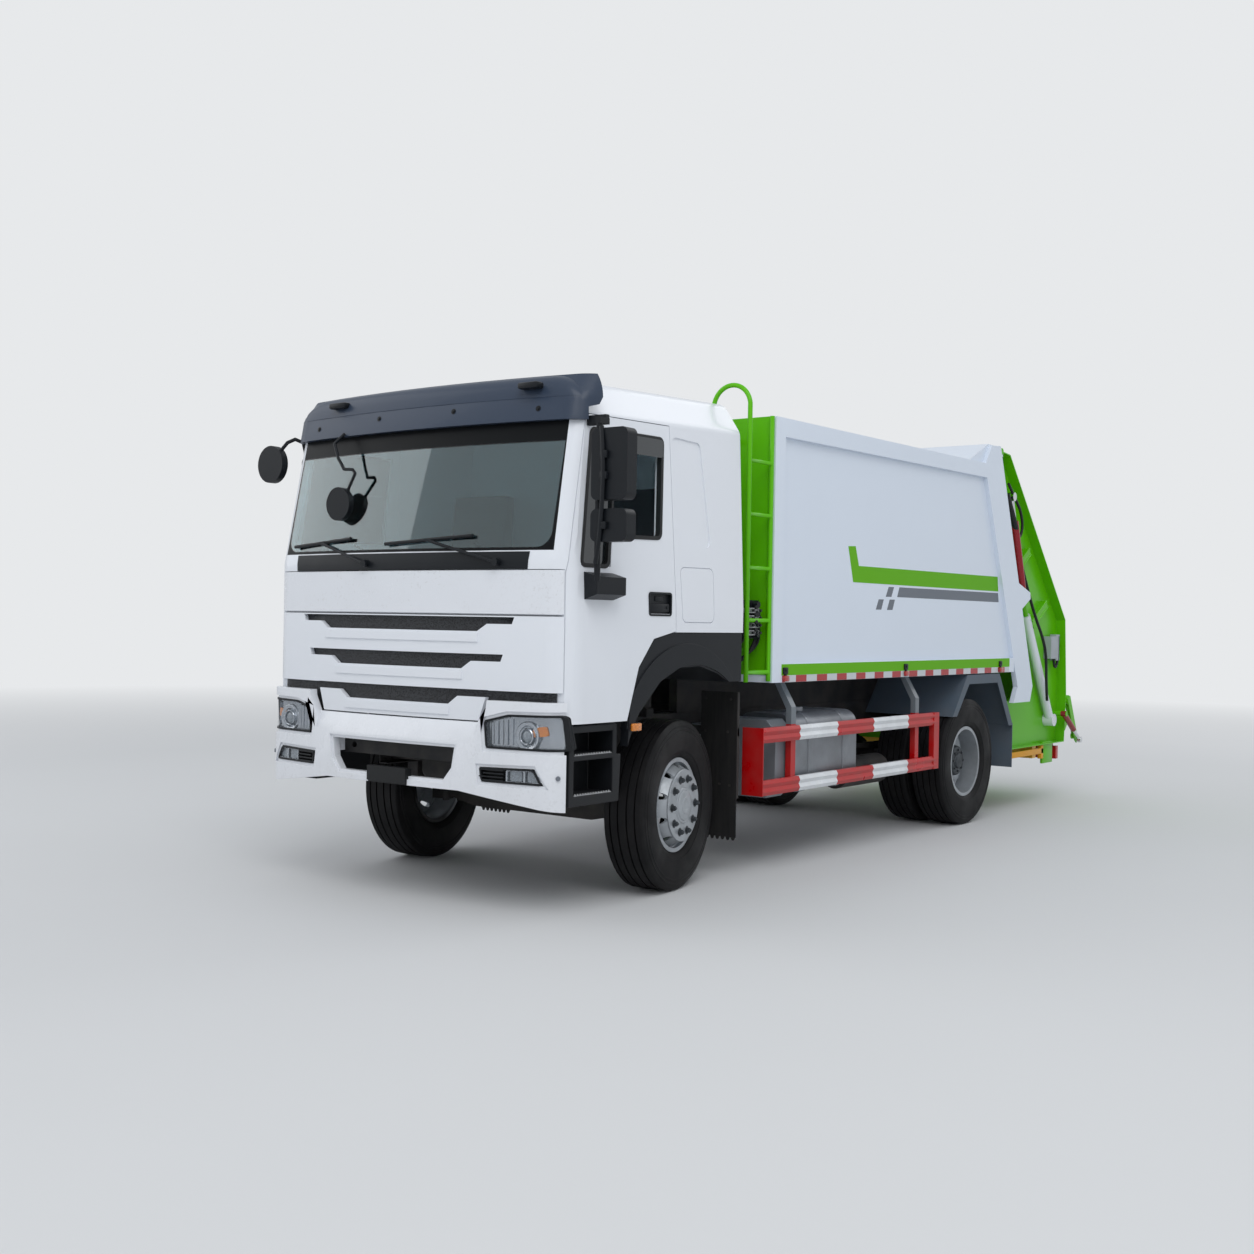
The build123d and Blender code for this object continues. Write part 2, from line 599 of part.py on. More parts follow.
# The round mirror's arm: distance from the middle of the cab, behind the bumper's face, and height
round_arm = ((1325, 515, 2700), (1285, 450, 2700), (1285, 440, 2815), (1262, 400, 2872), (1292, 355, 2892),
             (mirror_reach - 230, 322, 2868), (mirror_reach - 188, 302, 2815),
             (mirror_reach - 135, 295, 2750))
for name, side in sides:
    with BuildPart() as door:
        add(cab_outer)
        add(door_inner, mode=Mode.SUBTRACT)
        with BuildSketch(Plane.YZ.offset(side * (cab_width / 2 + 100))) as panel:
            Polygon(*door_outline, align=None)
            Polygon(*window_outline, align=None, mode=Mode.SUBTRACT)
        extrude(panel.sketch, amount=-side * 300, mode=Mode.INTERSECT)
        # Pull handle in its recess
        block((side * (cab_width / 2 - 18), side * (cab_width / 2 + 5)), (front_y + 960, front_y + 1180),
              (1752, 1872),
              mode=Mode.SUBTRACT)
        block((side * (cab_width / 2 - 20), side * (cab_width / 2 - 4)), (front_y + 975, front_y + 1165),
              (1765, 1812))
    save(door, f"door_{name}")
    with BuildPart() as glass:
        add(cab_outer)
        with BuildSketch(Plane.YZ.offset(side * (cab_width / 2 + 100))) as pane:
            Polygon(*window_outline, align=None)
        extrude(pane.sketch, amount=-side * 300, mode=Mode.INTERSECT)
        with BuildSketch(Plane.XZ.offset(-front_y)) as slab:
            for inset, way in ((door_glass_inset, Mode.ADD), (door_glass_inset + 6, Mode.SUBTRACT)):
                Polygon((0, 0), (side * (cab_width / 2 - inset), 0),
                        (side * (cab_width / 2 - inset), cab_crease_z),
                        (side * (gutter_half_width - inset), gutter_z), (0, gutter_z), align=None, mode=way)
        extrude(slab.sketch, amount=-cab_length, dir=(0, -1, -roof_slope), mode=Mode.INTERSECT)
    # The left window stands open, its glass down inside the door
    if name == "right":
        save(glass, f"glass_{name}")
    # Main mirror above the wide-angle one, on a tube between two feet; the right pair is folded to the door
    tube_s = 345 if name == "left" else 515
    tube_x = cab_width / 2 + 75
    head_inner = cab_width / 2 + mirror_clear
    with BuildPart() as mirror:
        for z_low, z_high in mirror_heads:
            if name == "left":
                with BuildSketch(Plane.XZ.offset(-(front_y + 300))):
                    with Locations((side * (mirror_reach + head_inner) / 2, (z_low + z_high) / 2)):
                        RectangleRounded(mirror_reach - head_inner, z_high - z_low, 40)
                extrude(amount=-mirror_depth)
            else:
                with BuildSketch(Plane.YZ.offset(side * (tube_x + mirror_depth / 2))):
                    with Locations((front_y + tube_s + 95, (z_low + z_high) / 2)):
                        RectangleRounded(255, z_high - z_low, 40)
                extrude(amount=mirror_depth)
        rod((side * tube_x, front_y + tube_s, 1930), (side * tube_x, front_y + tube_s, 2850), 36)
        for z_low, z_high, tip_low, tip_high, ahead, behind in ((1825, 1983, 1855, 1955, 15, 255),
                                                                (2824, 2880, 2824, 2880, -37, 70)):
            front_prism([(side * (cab_side(z_low) + seat_gap), z_low),
                         (side * (cab_side(z_high) + seat_gap), z_high),
                         (side * (tube_x + 15), tip_high), (side * (tube_x + 15), tip_low)],
                        front_y + tube_s - ahead, front_y + tube_s + behind)
        block((side * (tube_x - 18), side * (tube_x + 18)), (front_y + tube_s - 18, front_y + tube_s + 70),
              (2824, 2860))
        if name == "left":
            # Clamps from the tube to the heads
            for z_clamp in (2245, 2580):
                block((side * tube_x, side * (head_inner + 40)), (front_y + 320, front_y + 370),
                      (z_clamp - 18, z_clamp + 18))
        else:
            # A round mirror ahead of the door on a bent arm
            route = [(side * x, front_y + s, z) for x, s, z in round_arm]
            for start, end in zip(route, route[1:]):
                rod(start, end, 24)
                with Locations(end):
                    Sphere(12)
            rod((-(mirror_reach - round_mirror / 2), front_y + 262, 2722),
                (-(mirror_reach - round_mirror / 2), front_y + 312, 2722), round_mirror)
    save(mirror, f"mirror_{name}")

# Windscreen
with BuildPart() as windscreen:
    add(cab_outer)
    front_prism(screen_outline, front_y - 100, front_y + 700, mode=Mode.INTERSECT)
    inner = cab_form(7, 1800)
    add(inner, mode=Mode.SUBTRACT)
save(windscreen, "windscreen")


# Front panel, grille and bumper
seam_s = door_front_s - door_gap
grille_foot_z = 1112
bar_low_z = 1290            # below it the grille narrows to the width between the lamp pods
# Each slot: its low edge, the foot of its thin ends, its top, half widths at the top and of the deep middle
slots = ((1632, 1676, 1716, 902, 712), (1412, 1458, 1500, 828, 600), (1200, 1250, 1292, 732, 505))
with BuildPart() as front_panel:
    nose_strip(0, panel_wall, cab_width, cab_crease_z + 10, panel_top_z, seam_s)
save(front_panel, "front_panel")
with BuildPart() as grille:
    nose_strip(0, panel_wall, cab_width, grille_foot_z, cab_crease_z, seam_s)
    for side in (-1, 1):
        front_prism([(side * 726, bar_low_z), (side * cab_width, bar_low_z),
                     (side * cab_width, grille_foot_z - 10),
                     (side * 660, grille_foot_z - 10)], front_y - 100, front_y + 600, mode=Mode.SUBTRACT)
    for z_low, z_foot, z_high, half, half_deep in slots:
        narrowing = 0.4 * (z_high - z_foot)
        slot = [(half, z_high), (half - narrowing, z_foot), (half_deep, z_foot), (half_deep - 70, z_low)]
        front_prism(slot + [(-x, z) for x, z in slot[::-1]], front_y - 100, front_y + 600,
                    mode=Mode.SUBTRACT)
    # Raised lower lip of each bar
    for z_low, z_foot, z_high, half, half_deep in slots:
        nose_strip(lip_stand, lip_stand + 2, half_deep - 60, z_low - 62, z_low - 12, seam_s)
save(grille, "grille")
with BuildPart() as grille_mesh:
    nose_strip(0, nose_step - panel_wall - 2 * seat_gap, 1000, bar_low_z + 10, cab_crease_z, seam_s,
               depth=panel_wall + seat_gap)
    nose_strip(0, nose_step - panel_wall - 2 * seat_gap, 1175, cab_sill_z + 4, bar_low_z + 10, seam_s,
               depth=panel_wall + seat_gap)
save(grille_mesh, "grille_mesh")

# Bumper: lamp pods at the corners, a sloped ledge between them and the intake below
bumper_wall = 60
bumper_foot_z = 614
bumper_middle_z = 702
ledge_z = 997
ledge_top_z = 1104
pod_top_z = 1236
ledge_lean = bumper_lead / (ledge_top_z - ledge_z)
lamp_outlines = (((750, 960), (735, 1120), (900, 1160), (1230, 1166), (1250, 960)),
                 ((720, 765), (706, 850), (1080, 858), (1137, 765)))
intake_outline = [(-520, 950), (-500, 830), (-440, 756), (440, 756), (500, 830), (520, 950)]
# Shallow recess round the intake and the lamps
with BuildPart() as recesses:
    with BuildSketch(Plane.XZ.offset(-(front_y - 200))) as area:
        Polygon(*intake_outline, align=None)
        for name, side in sides:
            for outline in lamp_outlines:
                Polygon(*[(side * x, z) for x, z in outline], align=None)
        offset(amount=recess_margin, kind=Kind.INTERSECTION)
    extrude(area.sketch, amount=-1000)
    nose_strip(bumper_lead + 5, 5 + recess_depth, cab_width, bumper_foot_z, pod_top_z, seam_s,
               mode=Mode.INTERSECT)

with BuildPart() as bumper:
    nose_strip(bumper_lead, bumper_wall, cab_width, bumper_foot_z, pod_top_z, seam_s)
    front_prism([(-760, pod_top_z + 10), (760, pod_top_z + 10), (755, pod_top_z - 36),
                 (690, ledge_top_z - 10),
                 (680, ledge_z), (-680, ledge_z), (-690, ledge_top_z - 10), (-755, pod_top_z - 36)],
                front_y - 100, front_y + 600, mode=Mode.SUBTRACT)
    nose_strip(bumper_lead, bumper_wall, 700, ledge_z, ledge_top_z, seam_s, lean=ledge_lean)
    # The bottom edge rises from the corners to the middle
    front_prism([(-cab_width, bumper_foot_z - 100), (cab_width, bumper_foot_z - 100),
                 (cab_width / 2, bumper_foot_z),
                 (560, bumper_middle_z), (-560, bumper_middle_z), (-cab_width / 2, bumper_foot_z)],
                front_y - 100, front_y + 600, mode=Mode.SUBTRACT)
    front_prism(intake_outline, front_y - 100, front_y + 300, mode=Mode.SUBTRACT)
    add(recesses, mode=Mode.SUBTRACT)
    for name, side in sides:
        for outline in lamp_outlines:
            front_prism([(side * x, z) for x, z in outline], front_y - 200, front_y + 800,
                        mode=Mode.SUBTRACT)
    # Brackets to the towing member
    for side in (-1, 1):
        block((side * 525, side * 558), (front_y + 60, front_y + tow_front - seat_gap),
              (tow_z - 40, tow_z + 40))
    # Bare plate bracket under the intake
    block((-165, 165), (front_y, front_y + 52), (712, 802))
save(bumper, "bumper")
with BuildPart() as headlamps:
    nose_strip(bumper_lead - recess_depth + 4, 40, cab_width, bumper_foot_z, pod_top_z, seam_s)
    with BuildSketch(Plane.XZ.offset(-(front_y - 200))) as lamp_area:
        for name, side in sides:
            for outline in lamp_outlines:
                Polygon(*[(side * x, z) for x, z in outline], align=None)
        offset(amount=-seat_gap, kind=Kind.INTERSECTION)
    extrude(lamp_area.sketch, amount=-1000, mode=Mode.INTERSECT)
save(headlamps, "headlamps")

# Black cowl across the foot of the windscreen
with BuildPart() as cowl:
    nose_strip(seat_gap + cowl_wall, cowl_wall, cab_width, panel_top_z + 4, screen_foot_z, seam_s)
    nose_strip(seat_gap + cowl_wall, cowl_wall, cab_width, screen_foot_z, 2094, seam_s, lean=screen_lean)
    front_prism([(-990, 2094), (994, 2094), (988, panel_top_z + 4), (-983, panel_top_z + 4)],
                front_y - 100, front_y + 600, mode=Mode.INTERSECT)
save(cowl, "cowl")

# Sun visor: a leaning band under a rounded brow, both wrapped round the cab's corners
visor_lead = 45
visor_low_z = 2855
visor_crease_z = 2995
visor_top_z = 3134
visor_back = 470
visor_side = 365
brow_lean = 0.8
with BuildPart() as sun_visor:
    for z_low, z_high, lean in ((visor_low_z, visor_crease_z, screen_lean),
                                (visor_crease_z, visor_top_z, brow_lean)):
        nose_strip(visor_lead - screen_lean * (z_low - screen_foot_z), 0, cab_width, z_low, z_high, 700,
                   lean=lean)
    side_prism(behind_bumper([(visor_side, visor_low_z - 10), (visor_side + 6, 2930),
                              (visor_back - 30, 2950),
                              (visor_back, visor_crease_z), (visor_back, visor_top_z + 10),
                              (1400, visor_top_z + 10),
                              (1400, visor_low_z - 10)]), -cab_width, cab_width, mode=Mode.SUBTRACT)
    add(cab_outer, mode=Mode.SUBTRACT)
save(sun_visor, "sun_visor")

# Inside the cab: dashboard with the steering wheel, and the seats
with BuildPart() as dashboard:
    side_prism(behind_bumper([(300, tunnel_top_z), (300, 1960), (460, 1990), (640, 1860), (600, 1600),
                              (480, tunnel_top_z)]), -1110, 1110)
    with Locations(Plane(origin=(620, front_y + 760, 1960), z_dir=(0, 0.6, 1))):
        Torus(225, 16)
        Box(430, 40, 16)
    rod((620, front_y + 560, 1760), (620, front_y + 765, 1965), 60)
save(dashboard, "dashboard")
seat_z = arch_top_z + floor_wall
with BuildPart() as seats:
    for name, side in sides:
        side_prism(behind_bumper([(1110, seat_z), (1110, seat_z + 160), (1480, seat_z + 160),
                                  (1480, seat_z)]),
                   side * 460, side * 840)
        side_prism(behind_bumper([(980, seat_z + 160), (970, seat_z + 270), (1000, seat_z + 290),
                                  (1440, seat_z + 270), (1500, seat_z + 900), (1600, seat_z + 890),
                                  (1560, seat_z + 160)]), side * 400, side * 900)
    block((-1150, 1150), (front_y + 1640, cab_back_y - cab_wall - 5), (seat_z, seat_z + 200))
save(seats, "seats")

# Wheel arches: the side panel, a raised lip round the tyre and the liner behind it
arch_inner = [(762, 960), (925, 1188), (1096, 1337), (1304, 1420), (1523, 1426), (1719, 1377), (1854, 1319)]
arch_outer = [(740, 1060), (782, 1227), (877, 1359), (1032, 1493), (1269, 1561), (1520, 1542), (1750, 1459),
              (1900, 1335)]
arch_stand = 8
with BuildPart() as wheel_arches:
    for name, side in sides:
        side_prism(behind_bumper([(762, cab_sill_z - 54), (770, cab_sill_z), (870, 1426), (1016, 1594),
                                  (1104, arch_top_z - seat_gap), (cab_length, arch_top_z - seat_gap),
                                  (cab_length, 1319)] + arch_inner[:0:-1]),
                   side * (cab_width / 2 - 60), side * (cab_width / 2 - arch_stand))
        # The raised lip, with arcs along both of its edges
        with BuildSketch(Plane.YZ.offset(side * (cab_width / 2 - 60))) as lip:
            with BuildLine():
                for row in (arch_inner, arch_outer[1:]):
                    first, middle, last = behind_bumper([row[0], row[len(row) // 2], row[-1]])
                    ThreePointArc(first, middle, last)
                Line(*behind_bumper([arch_inner[0], arch_outer[1]]))
                Line(*behind_bumper([arch_inner[-1], arch_outer[-1]]))
            make_face()
        extrude(lip.sketch, amount=side * 60)
        side_prism(behind_bumper(arch_inner[1:] + [(s - 8, z + 9) for s, z in arch_inner[:0:-1]]),
                   side * 560, side * (cab_width / 2 - 30))
        with BuildSketch(Plane.YZ.offset(side * (cab_width / 2 + 10))) as door_space:
            Polygon(*door_outline, align=None)
            offset(amount=door_gap, kind=Kind.INTERSECTION)
        extrude(door_space.sketch, amount=-side * 300, mode=Mode.SUBTRACT)
save(wheel_arches, "wheel_arches")
with BuildPart() as cab_steps:
    for name, side in sides:
        side_prism(behind_bumper([(245, 640), (245, 1101), (689, 1101), (689, 920), (730, 920),
                                  (715, 640)]),
                   side * 900, side * 1225)
        for z_low, z_high in ((700, 900), (930, 1060)):
            block((side * 1040, side * 1226), (front_y + 290, front_y + 650), (z_low, z_high),
                  mode=Mode.SUBTRACT)
        block((side * (rail_outer + seat_gap), side * 900), (front_y + 360, front_y + 460), (860, 960))
save(cab_steps, "cab_steps")
flap_s = 2112
flap_x = 1152
with BuildPart() as mudflaps:
    for name, side in sides:
        block((side * 860, side * flap_x), (front_y + flap_s, front_y + flap_s + 6), (240, 1240))
        block((side * (flap_x - 45), side * flap_x), (front_y + flap_s + 6, front_y + flap_s + 30),
              (525, 1240))
        block((side * (rail_outer + seat_gap), side * flap_x), (front_y + flap_s + 6,
                                                                front_y + flap_s + 30),
              (940, 1000))
save(mudflaps, "mudflaps")
with BuildPart() as rear_fenders:
    for name, side in sides:
        outline = [(-387, 942), (-99, 1290), (588, 1290), (908, 814)]
        inner = [(904, 814), (584, 1284), (-97, 1284), (-383, 942)]
        side_prism([(rear_axle_y + y, z) for y, z in outline + inner], side * (rail_outer + 0.3),
                   side * 1244)
        lip = [(-300, 942), (-60, 1210), (545, 1210), (815, 814)]
        side_prism([(rear_axle_y + y, z) for y, z in outline + lip[::-1]], side * 1240, side * 1248)
        block((side * 640, side * 1244), (rear_axle_y + 904, rear_axle_y + 912), (430, 830))
save(rear_fenders, "rear_fenders")

# Cargo body
def seal_y(z, gap=0):
    """Where the body's sloped rear opening is at a height."""
    return tail_y + (header_top_z - z) * seal_lean + gap * sqrt(1 + seal_lean ** 2)


half_body = body_width / 2
panel_x = half_body - body_panel_inset
inner_x = panel_x - body_wall
post_width = 330
with BuildPart() as body_shell:
    side_prism([(body_front_y, body_bottom_z), (body_front_y, body_top_z), (tail_y - 620, body_top_z),
                (tail_y - 200, header_top_z), (tail_y, header_top_z),
                (seal_y(body_bottom_z), body_bottom_z)],
               -panel_x, panel_x)
    side_prism([(body_front_y + body_wall, body_floor_z), (body_front_y + body_wall, body_top_z - 60),
                (tail_y - 580, body_top_z - 60), (tail_y - 180, header_top_z - 60),
                (seal_y(header_top_z - 60) + 50, header_top_z - 60),
                (seal_y(body_floor_z) + 50, body_floor_z)],
               -inner_x, inner_x, mode=Mode.SUBTRACT)
    for name, side in sides:
        near, far = side * (panel_x - 20), side * half_body
        # Front post, top rail, sill and the sloped rear post
        side_prism([(body_front_y, body_bottom_z + 52), (body_front_y, body_top_z),
                    (body_front_y + 130, body_top_z),
                    (body_front_y + 130, body_bottom_z + 52)], near, far)
        side_prism([(body_front_y, body_top_z - 130), (body_front_y, body_top_z),
                    (tail_y - 100, body_top_z + 15),
                    (tail_y - 100, body_top_z - 108)], near, far)
        side_prism([(body_front_y, body_bottom_z), (body_front_y, body_bottom_z + 127),
                    (seal_y(body_bottom_z) - 400, body_bottom_z + 127),
                    (seal_y(body_bottom_z) - 400, body_bottom_z)],
                   near, far)
        side_prism([(tail_y - post_width, body_top_z), (tail_y - 195, header_top_z - 14),
                    (tail_y, header_top_z),
                    (seal_y(1158), 1158), (seal_y(1158) - 58, 1015), (seal_y(1158) - 448, 1015),
                    (seal_y(1158) - 358, 1158)], side * inner_x, far)
        # Seal flange inside the rear opening
        side_prism([(seal_y(header_top_z - 60) - 30, header_top_z - 60),
                    (seal_y(header_top_z - 60), header_top_z - 60),
                    (seal_y(body_floor_z), body_floor_z), (seal_y(body_floor_z) - 30, body_floor_z)],
                   side * (side_plate_x - 5), side * inner_x)
        # Bracket and pin for the lift cylinder's base
        side_prism([(seal_y(2110) - 60, 2110), (seal_y(2110), 2110), (tail_y + 745, 2030),
                    (tail_y + 755, 1970),
                    (tail_y + 700, 1945), (seal_y(1850) - 60, 1850)], side * (half_body - 14), far)
        cross_tube(tail_y + 705, 1994, 50, side * 1152, side * (half_body - 10))
        # Ear plates that carry the tailgate's hinge
        side_prism(at_tail([(-60, header_top_z - 150), (-60, header_top_z),
                            (hinge_back - 20, header_top_z + 10),
                            (hinge_back + 45, header_top_z - 24), (hinge_back + 30, header_top_z - 70),
                            (40, header_top_z - 150)]), side * (side_plate_x + 100),
                            side * (side_plate_x + 122))
        cross_tube(tail_y + hinge_back, header_top_z - hinge_drop, 60.6, side * 1000, side * 1250,
                   mode=Mode.SUBTRACT)
save(body_shell, "body_shell")

# Ejector: a sloped push plate on a back frame, run by a telescopic cylinder
ejector_travel = tail_y - body_front_y - 529
ejector_clear = 12
with BuildPart() as ejector_panel:
    low = body_floor_z + ejector_clear
    top = body_top_z - 60 - 40
    lean_back = (top - low) * seal_lean
    front_low = seal_y(low) - ejector_travel - 60
    side_prism([(front_low, low), (front_low - lean_back, top), (front_low - lean_back - 60, top),
                (front_low - 60, low)], -(inner_x - ejector_clear), inner_x - ejector_clear)
    for side in (-1, 1):
        side_prism([(front_low - 60, low), (front_low - 60 - lean_back * 0.55, low + (top - low) * 0.55),
                    (front_low - 420, low + 60), (front_low - 420, low)], side * 700, side * 760)
save(ejector_panel, "ejector_panel")

# Tailgate: side plates with their flanges, a roof sheet and the hinge pins
hinge_y = tail_y + hinge_back
hinge_z = header_top_z - hinge_drop
tail_outline = [(seal_y(3180, seal_gap), 3180), (tail_y + 100, 3290), (tail_y + 123, 3335),
                (tail_y + 251, 3308),
                (tail_y + 485, 3291), (tail_y + 794, 2967), (tail_y + 1508, 2241), (tail_y + 1953, 1789),
                (tail_y + 2008, 1073), (tail_y + 2008, 1010), (tail_y + 1971, 568), (tail_y + 421, 568),
                (tail_y + 421, 1005), (seal_y(1150, seal_gap) - 30, 1062), (seal_y(1150, seal_gap), 1150)]
blade_y = tail_y + 1288
blade_z = 1385
slide_angle = degrees(atan2(slide_run[1], slide_run[0]))
crosshead_up = 989
crosshead = (blade_y + slide_run[0] * crosshead_up, blade_z + slide_run[1] * crosshead_up)
crosshead_diameter = 68
lift_x = 1190
lift_base = (tail_y + 705, 1994)
lift_eye = (tail_y + 399, 2895)
lifter_x = 1188
lifter_base = (tail_y + 1825, 856)
lifter_eye = (tail_y + 2279, 575)
lifter_pivot = (tail_y + 2060, 985)
with BuildPart() as tailgate_shell:
    for name, side in sides:
        side_prism(tail_outline, side * (side_plate_x - plate_wall), side * side_plate_x)
        # Flange round the plate's edge, open along the loading mouth
        with BuildSketch(Plane.YZ.offset(side * (side_plate_x - plate_wall))) as rim:
            Polygon(*tail_outline, align=None)
            offset(amount=-plate_wall, kind=Kind.INTERSECTION, mode=Mode.SUBTRACT)
        extrude(rim.sketch, amount=side * (tail_flange + plate_wall))
        # Hinge pins
        cross_tube(hinge_y, hinge_z, 60, side * (side_plate_x - plate_wall), side * (side_plate_x + 130))
        # Three channel ribs
        for y0, z0, y1, z1 in ((510, 2800, 685, 2941), (830, 2265, 1098, 2431), (1195, 1733, 1558, 1938)):
            length = hypot(y1 - y0, z1 - z0)
            along = ((y1 - y0) / length, (z1 - z0) / length)
            side_prism([(tail_y + y0 - 35 * along[1], z0 + 35 * along[0]),
                        (tail_y + y1 - 35 * along[1], z1 + 35 * along[0]),
                        (tail_y + y1 + 35 * along[1], z1 - 35 * along[0]),
                        (tail_y + y0 + 35 * along[1], z0 - 35 * along[0])],
                       side * (side_plate_x - plate_wall), side * (side_plate_x + 50))
        # Slot for the packing slide's crosshead, and the bosses of the lift and lifter cylinders
        with BuildSketch(Plane.YZ.offset(side * (side_plate_x - 40))) as slot:
            with Locations(Location((crosshead[0] + slide_run[0] * slide_travel / 2,
                                     crosshead[1] + slide_run[1] * slide_travel / 2, 0),
                                     (0, 0, slide_angle))):
                SlotCenterToCenter(slide_travel, crosshead_diameter + 16)
        extrude(slot.sketch, amount=side * 80, mode=Mode.SUBTRACT)
        cross_tube(*lift_eye, 80, side * (side_plate_x - 2), side * (lift_x - 41))
        cross_tube(*lifter_base, 50, side * (side_plate_x - 2), side * (lifter_x + 30))
    # Roof sheet between the side plates down to the loading mouth
    side_prism([(tail_y + 140, 3290), (tail_y + 140, 3300), (tail_y + 251, 3303), (tail_y + 480, 3286),
                (tail_y + 790, 2962), (tail_y + 1504, 2236), (tail_y + 1949, 1784), (tail_y + 1942, 1777),
                (tail_y + 1497, 2229), (tail_y + 783, 2955), (tail_y + 476, 3276), (tail_y + 251, 3293)],
               -side_plate_x + 5, side_plate_x - 5)
save(tailgate_shell, "tailgate_shell")

# Hopper: the curved floor, its front slope and the sill
floor_end = (blade_y + hopper_radius * cos(radians(-25.1)), blade_z + hopper_radius * sin(radians(-25.1)))
floor_mid = (blade_y + hopper_radius * cos(radians(-58)), blade_z + hopper_radius * sin(radians(-58)))
floor_low = (blade_y, blade_z - hopper_radius)
slope_end = (seal_y(1290, seal_gap) + 36, 1290)
with BuildPart() as hopper:
    with BuildSketch(Plane.YZ.offset(-side_plate_x + plate_wall + 0.3)) as profile:
        with BuildLine():
            ThreePointArc(floor_end, floor_mid, floor_low)
            Polyline(floor_low, (floor_low[0] - 19, floor_low[1]), slope_end,
                     (slope_end[0] - 14, slope_end[1]),
                     (floor_low[0] - 24, floor_low[1] - 12), (floor_low[0], floor_low[1] - 12))
            ThreePointArc((floor_low[0], floor_low[1] - 12),
                          (blade_y + (hopper_radius + 12) * cos(radians(-58)),
                           blade_z + (hopper_radius + 12) * sin(radians(-58))),
                          (blade_y + (hopper_radius + 12) * cos(radians(-25.1)),
                           blade_z + (hopper_radius + 12) * sin(radians(-25.1))))
            Line((blade_y + (hopper_radius + 12) * cos(radians(-25.1)),
                  blade_z + (hopper_radius + 12) * sin(radians(-25.1))), floor_end)
        make_face()
    extrude(profile.sketch, amount=2 * (side_plate_x - plate_wall - 0.3))
    # Sill beam and the cross beam under the floor
    block((-side_plate_x + plate_wall + 0.3, side_plate_x - plate_wall - 0.3),
          (floor_end[0] - 4, floor_end[0] + 20),
          (floor_end[1] - 100, floor_end[1] + 14))
    block((-side_plate_x + plate_wall + 0.3, side_plate_x - plate_wall - 0.3),
          (tail_y + 600, tail_y + 760), (600, 690))
    # Ears that carry the bin lifter's shaft
    for x_ear in (-920, -20, 880):
        side_prism([(floor_end[0] + 18, floor_end[1] + 10), (lifter_pivot[0] + 30, lifter_pivot[1] + 45),
                    (lifter_pivot[0] + 48, lifter_pivot[1]), (lifter_pivot[0] + 20, lifter_pivot[1] - 50),
                    (floor_end[0] + 18, floor_end[1] - 100)], x_ear, x_ear + 40)
        cross_tube(*lifter_pivot, 70.6, x_ear, x_ear + 40, mode=Mode.SUBTRACT)
save(hopper, "hopper")

# Packing slide with its crosshead and rods, and the sweep blade on it
def along_slide(distance, across=0):
    """A side-view point measured up the slide from the blade's hinge, and square to it towards the front."""
    return (blade_y + slide_run[0] * distance - slide_run[1] * across,
            blade_z + slide_run[1] * distance + slide_run[0] * across)


slide_half = side_plate_x - plate_wall - 8
cylinder_x = side_plate_x + 52
cylinder_length = 1689
barrel_length = 1216
slide_rod_diameter = 50
slide_rod_length = cylinder_length - barrel_length + slide_travel + 60
with BuildPart() as slide_panel:
    side_prism([along_slide(70, -40), along_slide(1100, -40), along_slide(1100, 30), along_slide(70, 30)],
               -slide_half, slide_half)
    for distance in (250, 620, 1000):
        side_prism([along_slide(distance, -100), along_slide(distance + 80, -100),
                    along_slide(distance + 80, -40),
                    along_slide(distance, -40)], -slide_half, slide_half)
    for x_ear in (-slide_half, -340, 300, slide_half - 40):
        with BuildSketch(Plane.YZ.offset(x_ear)) as ear:
            with Locations((blade_y, blade_z)):
                Circle(62)
            Polygon(along_slide(0, -60), along_slide(90, -60), along_slide(90, 50), along_slide(0, 50),
                    align=None)
            with Locations((blade_y, blade_z)):
                Circle(30.3, mode=Mode.SUBTRACT)
        extrude(ear.sketch, amount=40)
    # Crosshead through the side plates, with the rods that run down into the white cylinders
    cross_tube(*crosshead, crosshead_diameter, -(cylinder_x + 40), cylinder_x + 40)
    for name, side in sides:
        rod((side * cylinder_x, *crosshead),
            (side * cylinder_x, *along_slide(crosshead_up - slide_rod_length)),
            slide_rod_diameter)
save(slide_panel, "slide_panel")
with BuildPart() as sweep_blade:
    side_prism([(blade_y - 30, blade_z - 70), (blade_y + 60, blade_z - 70), (blade_y + 80, blade_z - 520),
                (blade_y, blade_z - blade_length), (blade_y - 20, blade_z - blade_length),
                (blade_y - 30, blade_z - blade_length + 60)], -slide_half, slide_half)
    for x_ear in (-slide_half + 50, -290, 250, slide_half - 90):
        block((x_ear, x_ear + 40), (blade_y - 28, blade_y + 58), (blade_z - 75, blade_z))
        cross_tube(blade_y, blade_z, 120, x_ear, x_ear + 40)
    cross_tube(blade_y, blade_z, 60, -slide_half, slide_half)
save(sweep_blade, "sweep_blade")

# White cylinders that raise the slide: the barrels are pinned to the side plates
with BuildPart() as slide_cylinders:
    low = along_slide(crosshead_up - cylinder_length)
    barrel_top = along_slide(crosshead_up - cylinder_length + barrel_length)
    bore_end = along_slide(crosshead_up - slide_rod_length - 15)
    for name, side in sides:
        rod((side * cylinder_x, *low), (side * cylinder_x, *barrel_top), 86)
        cross_tube(*low, 120, side * (side_plate_x + 0.3), side * (cylinder_x + 50))
        rod((side * cylinder_x, *barrel_top), (side * cylinder_x, *bore_end), slide_rod_diameter + 1,
            mode=Mode.SUBTRACT)
save(slide_cylinders, "slide_cylinders")


